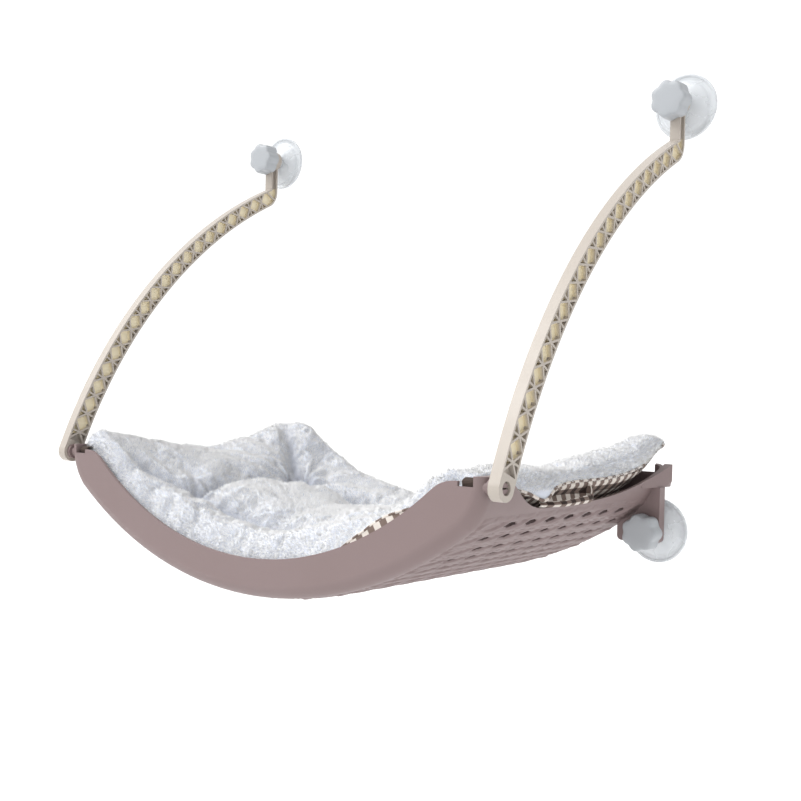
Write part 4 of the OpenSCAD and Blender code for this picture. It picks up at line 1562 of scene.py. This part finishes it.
    def make_pile(self, patch: int) -> bpy.types.Object:
        """One patch of the pile: thousands of short spikes that stand on the skin.

        Each spike starts at a random place, chosen evenly by area, and is a thin three-sided point. Its
        direction is the skin's normal, bent by a smooth combing noise, a little chance and its own
        weight. Its shading follows the skin, so that the pile looks soft. Its map holds a random number
        and a painted shade: a brightness that is less at the root, as painted shade between the spikes, and
        in the skin's hollows, as painted shade in the seams, pits and gathers.

        Args:
            patch: which share of the mat's length, from the left.

        Returns:
            The new piece.
        """
        chance = np.random.default_rng(70 + patch)
        rows, columns = self.skin_points.shape[:2]
        cuts = np.linspace(0, columns - 1, self.patches + 1).astype(int)
        span = slice(cuts[patch], cuts[patch + 1] + 1)
        points, normals = self.skin_points[:, span], self.skin_normals[:, span]
        faces = grid_faces(rows, points.shape[1])
        flat, flat_n = points.reshape(-1, 3), normals.reshape(-1, 3)
        a, b, c, d = (flat[faces[:, n]] for n in range(4))
        area = np.linalg.norm(np.cross(c - a, d - b), axis=1)
        cell = chance.choice(len(faces), self.tufts, p=area / area.sum())
        shade = self.skin_shade[:, span].ravel()[faces[cell, 0]]
        s, t = chance.random((2, self.tufts, 1))
        weights = ((1 - s) * (1 - t), s * (1 - t), s * t, (1 - s) * t)
        root = sum(w * flat[faces[cell, n]] for n, w in enumerate(weights))
        normal = unit(sum(w * flat_n[faces[cell, n]] for n, w in enumerate(weights)))
        comb = np.stack([Grain(0.0045, seed=31 + n).at(root) for n in range(3)], -1)
        lean = comb * 0.22 + chance.normal(0, 0.46, root.shape) + np.array([0.0, 0.0, -0.1])
        direction = unit(normal * 0.9 + lean)
        short = np.maximum(0.25 - np.sum(direction * normal, 1, keepdims=True), 0)
        direction = unit(direction + normal * short)
        length = self.pile * chance.uniform(0.6, 1.2, (self.tufts, 1))
        across = unit(np.cross(direction, chance.normal(size=root.shape)))
        other = np.cross(direction, across)
        half = self.tuft_r * chance.uniform(0.7, 1.25, (self.tufts, 1))
        base = root - normal * self.tuft_root
        tip = base + direction * length
        corners = [base + half * (math.cos(k) * across + math.sin(k) * other) for k in self.tuft_angles]
        spike = np.stack([*corners, tip], 1)
        inside = self.form.tray.wall + 0.0004
        limit = self.form.tray.half_w - inside
        low = spike[..., 2] < self.form.tray.rim + 0.001
        spike[..., 0] = np.where(low, np.clip(spike[..., 0], -limit, limit), spike[..., 0])
        spike[..., 1] = np.clip(spike[..., 1], self.form.tray.front + inside, self.form.tray.rear - inside)
        start = np.arange(self.tufts)[:, None] * 4
        sides = np.concatenate([start + np.array([[k, (k + 1) % 3, 3]]) for k in range(3)])
        own = np.repeat(chance.random((self.tufts, 1)), 4, 1)
        # Painted shade: each spike is darker at its root and darker still in the skin's hollows.
        up = np.array(self.tuft_bright) - shade[:, None] * np.array(self.tuft_darken)
        piece = make_piece(f"mat_pile_{patch + 1}", spike, [sides], np.stack([own, up], -1))
        soft = np.stack([normal * 1.3 + (corner - base) / half * 0.5 for corner in corners]
                        + [normal * 1.3 + direction * 0.3], 1)
        piece.data.normals_split_custom_set_from_vertices(unit(soft).reshape(-1, 3))
        return piece

    def make_underlay(self) -> bpy.types.Object:
        """The checked underside, whose map is its flat size in metres.

        Returns:
            The new piece, a sheet that lies close under the padded core.
        """
        p, q = self.grid(self.underlay_step)
        points = self.form.surface(p, q, top=False)
        across, along = arc_lengths(points, axis=1), arc_lengths(points)
        uv = together(across - across[:, [across.shape[1] // 2]], along)
        ripple = Grain(0.018, seed=41, octaves=2).at(points) * 0.0003
        points = points - grid_normals(points) * (0.0007 + ripple[..., None])
        self.flat = (float(across[across.shape[0] // 2, -1]), float(along[-1, along.shape[1] // 2]))
        return make_piece("mat_underlay", points, [grid_faces(*p.shape, flip=True)], uv)

    def tube(self, name: str, path: Array, radius: float, sides: int = 8) -> bpy.types.Object:
        """A closed ring of round piping along a path.

        Args:
            name: the piece's name.
            path: points along the piping, without the first repeated.
            radius: of the piping.
            sides: corners of its section.

        Returns:
            The new piece.
        """
        ahead = unit(np.roll(path, -1, 0) - np.roll(path, 1, 0))
        side = unit(np.cross(ahead, np.array([0.0, 0.0, 1.0])))
        up = np.cross(side, ahead)
        angle = np.linspace(0, 2 * math.pi, sides, endpoint=False)
        ring = side[:, None] * np.cos(angle)[None, :, None] + up[:, None] * np.sin(angle)[None, :, None]
        points = path[:, None] + radius * ring
        points = np.concatenate([points, points[:1]])
        uv = together(angle[None] * radius, arc_lengths(points[:, 0])[:, None])
        return weld(make_piece(name, points, [grid_faces(len(points), sides, wrap_columns=True)], uv), 1e-7)

    def make_piping(self) -> bpy.types.Object:
        """Binding of the underlay's cloth where the two sides are sewn together.

        Returns:
            The new piece.
        """
        t = np.linspace(-1, 1, 160, endpoint=False)
        one = np.ones_like(t)
        p = np.concatenate([t, one, -t, -one])
        q = np.concatenate([-one, t, one, -t])
        path = self.form.surface(p, q, top=True)
        keep = np.linalg.norm(path - np.roll(path, 1, 0), axis=1) > 1e-4
        return self.tube("mat_piping", path[keep], 0.0014)

    def make_loose_fold(self) -> bpy.types.Object:
        """The underlay's loose edge on the right, which lies on the dipped rim and curls back on itself.

        In plan the cloth runs rearward over the rim, curls inward round a small loop, and runs forward
        again closer to the mat. The outer run stands low and the inner one high, so the fold gapes.

        Returns:
            The new piece.
        """
        fold = self.fold
        t = np.linspace(0, 1, 110)
        run, curl, after = (np.clip((t - a) / b, 0, 1) for a, b in ((0, 0.42), (0.42, 0.20), (0.62, 0.38)))
        swing = np.where(t < 0.42, smooth_step(run * 2.5) * 1.6 - 0.6, np.cos(curl * math.pi))
        x = fold.middle_x + fold.loop_r * swing - fold.closer * after
        y = fold.front + (fold.turn - fold.front) * run + 1.5 * fold.loop_r * np.sin(curl * math.pi)
        y = y - fold.way_back * after
        hem = self.form.tray.side_rim(y) + fold.over_rim + fold.hem_rise * after
        tall = fold.tall + fold.run_rise * run + fold.curl_rise * smooth_step(curl * 2)
        up = np.linspace(0, 1, 10)[:, None]
        bulge = fold.bulge * np.sin(up * math.pi) * np.where(t < 0.52, 1.0, -1.0)
        points = together(x + bulge, y, self.form.tray.rim + hem + tall * up)
        lengths = arc_lengths(together(x, y))
        self.fold_flat = (float(tall.mean()), float(lengths[-1]))
        uv = together(lengths, up * fold.map_h)
        return make_piece("mat_loose_fold", points, [grid_faces(*points.shape[:2])], uv)

    def make_strap(self, side: Side) -> bpy.types.Object:
        """A corner strap: it stands behind the apron, bends over the notch and hangs back to the mat.

        Args:
            side: which front corner.

        Returns:
            The new piece.
        """
        low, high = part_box(f"corner_strap_{side.word}")
        inset = 0.0003
        t = np.linspace(0, 1, 28)
        down, back = np.clip(t / 0.5, 0, 1), np.clip((t - 0.5) / 0.5, 0, 1)
        y = low.y + inset + 0.0008 * np.sin(down * math.pi) + 0.016 * back
        fall = 0.004 * np.sin(back * math.pi) - 0.006 * back * np.sin(back * math.pi / 2)
        z = low.z + (high.z - low.z) * down + fall
        across = np.linspace(low.x + inset, high.x - inset, 6)
        points = together(across, y[:, None], z[:, None])
        lengths = arc_lengths(together(y, z))
        self.strap_flat = (float(across[-1] - across[0]), float(lengths[-1]))
        uv = together(across - across[0], lengths[:, None])
        return make_piece(f"strap_{side.word}", points, [grid_faces(*points.shape[:2], flip=True)], uv)

    @staticmethod
    def thicken(piece: bpy.types.Object, thickness: float) -> None:
        """Gives a cloth sheet its thickness, centred on the sheet."""
        solid = piece.modifiers.new("thickness", "SOLIDIFY")
        solid.thickness = thickness
        solid.offset = 0.0

    def build(self) -> None:
        """Makes every piece of the mat."""
        core = dress(self.make_core(), self.palette.plush_skin)
        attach(core, "mat")
        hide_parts("mat_pad")
        for patch in range(self.patches):
            pile = dress(self.make_pile(patch), self.palette.plush_pile)
            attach(pile, "mat")
        underlay = dress(self.make_underlay(), self.palette.gingham)
        self.thicken(underlay, self.cloth_t)
        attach(underlay, "mat")
        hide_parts("mat_base")
        piping = dress(self.make_piping(), self.palette.gingham)
        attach(piping, "mat")
        fold = dress(self.make_loose_fold(), self.palette.gingham)
        self.thicken(fold, self.cloth_t)
        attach(fold, "mat")
        for side in Side:
            strap = dress(self.make_strap(side), self.palette.webbing)
            self.thicken(strap, self.strap_t)
            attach(strap, "mat")
            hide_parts(f"corner_strap_{side.word}")
        LOG.info("mat: core has %d faces, pile %d spikes", len(core.data.polygons), self.tufts * self.patches)


# Arms


@dataclass
class Arms:
    """The two latticed arms, which keep the solids' shape."""

    palette: Palette

    def build(self, nodes: dict[str, bpy.types.Object]) -> None:
        """Dresses both arms."""
        for side in Side:
            dress(nodes[f"arm_{side.word}"], self.palette.arm)
            LOG.info("arm %s dressed", side.word)


# Camera, floor and light


@dataclass(frozen=True)
class Camera:
    """The photograph's camera, found from the cups, the tray and the arms."""

    place: Place = (0.7722, -1.0645, -0.0763)
    azimuth: float = 38.5
    elevation: float = 0.5
    roll: float = 1.5
    focal_px: float = 1163.0
    image_px: float = 801.0
    sensor_mm: float = 36.0

    def build(self) -> None:
        """Makes the camera and the scene's active camera of it."""
        a, e, r = (math.radians(v) for v in (self.azimuth, self.elevation, self.roll))
        back = Vector((math.sin(a) * math.cos(e), -math.cos(a) * math.cos(e), math.sin(e)))
        level = (-back).cross(Vector((0, 0, 1))).normalized()
        up = level.cross(-back)
        right = level * math.cos(r) + up * math.sin(r)
        top = up * math.cos(r) - level * math.sin(r)
        data = bpy.data.cameras.new("camera")
        data.sensor_width = self.sensor_mm
        data.lens = self.focal_px / self.image_px * self.sensor_mm
        camera = bpy.data.objects.new("camera", data)
        bpy.context.scene.collection.objects.link(camera)
        turn = Matrix((right, top, back)).transposed().to_4x4()
        camera.matrix_world = Matrix.Translation(self.place) @ turn
        bpy.context.scene.camera = camera


@dataclass(frozen=True)
class Studio:
    """Plain pale floor, soft daylight that is brightest on the window's side, and two soft lights."""

    floor_z: float = -0.64
    floor_r: float = 40.0
    bright: float = 1.12
    dim: float = 0.80
    bright_side: Place = (-0.72, 0.69, 0.0)
    bright_span: tuple[float, float] = (-0.4, 0.8)
    sun_place: Place = (-0.50, -0.45, 0.75)
    key_place: Place = (-1.3, -1.3, 1.8)
    key_aim: Place = (0.0, -0.2, -0.1)

    @staticmethod
    def lamp(name: str, kind: str, place: Place, aim: Place, energy: float) -> bpy.types.Light:
        """A light that faces a point.

        Args:
            name: the light's name.
            kind: AREA or SUN.
            place: where it stands.
            aim: the point that it faces.
            energy: its power, or a sun's light per area.

        Returns:
            The light's data, whose size is still to be set.
        """
        data = bpy.data.lights.new(name, kind)
        data.energy = energy
        light = bpy.data.objects.new(name, data)
        light.location = place
        light.rotation_mode = "QUATERNION"
        light.rotation_quaternion = (Vector(aim) - Vector(place)).to_track_quat("-Z", "Y")
        bpy.context.scene.collection.objects.link(light)
        return data

    def make_floor(self) -> None:
        """A wide pale disc under the perch."""
        angle = np.linspace(0, 2 * math.pi, 64, endpoint=False)
        ring = together(np.cos(angle), np.sin(angle), 0.0) * self.floor_r
        floor = make_piece("floor", ring + np.array([0, 0, self.floor_z]), [np.arange(64)[None]])
        board = Board("floor_paint")
        soft = board.noise(board.place(), 0.4, 2.0)
        board.surface(Base_Color=board.blend(soft, (0.97, 0.97, 0.97), (0.98, 0.98, 0.98)), Roughness=0.9)
        floor.data.materials.append(board.material)

    def make_sky(self) -> None:
        """White light all round, whose strength goes evenly from dim to bright toward the window's side."""
        world = bpy.data.worlds.new("sky")
        world.use_nodes = True
        nodes, links = world.node_tree.nodes, world.node_tree.links
        back = nodes["Background"]
        back.inputs["Color"].default_value = (1.0, 1.0, 1.0, 1.0)
        toward = nodes.new("ShaderNodeVectorMath")
        toward.operation = "DOT_PRODUCT"
        toward.inputs[1].default_value = self.bright_side
        links.new(nodes.new("ShaderNodeTexCoord").outputs["Generated"], toward.inputs[0])
        span = nodes.new("ShaderNodeMapRange")
        ends = zip(("From Min", "From Max", "To Min", "To Max"), (*self.bright_span, self.dim, self.bright))
        for key, value in ends:
            span.inputs[key].default_value = value
        links.new(toward.outputs["Value"], span.inputs["Value"])
        links.new(span.outputs["Result"], back.inputs["Strength"])
        bpy.context.scene.world = world

    def build(self) -> None:
        """Makes the floor, the sky and the lights."""
        self.make_floor()
        self.make_sky()
        self.lamp("daylight", "SUN", self.sun_place, (0.0, 0.0, 0.0), 1.9).angle = math.radians(50.0)
        self.lamp("key", "AREA", self.key_place, self.key_aim, 16.0).size = 1.0
        bpy.context.scene.view_settings.view_transform = "Standard"


def main() -> None:
    """Builds the perch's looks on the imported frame, piece by piece."""
    logging.basicConfig(level=logging.INFO, format="%(name)s: %(message)s")
    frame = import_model()
    Camera().build()
    Studio().build()
    palette = Palette()
    Tray(palette).build(frame["nodes"])
    Arms(palette).build(frame["nodes"])
    for level in Level:
        for side in Side:
            Station(palette, side, level).build(frame["nodes"])
    Mat(palette).build()


if __name__ == "__main__":
    main()
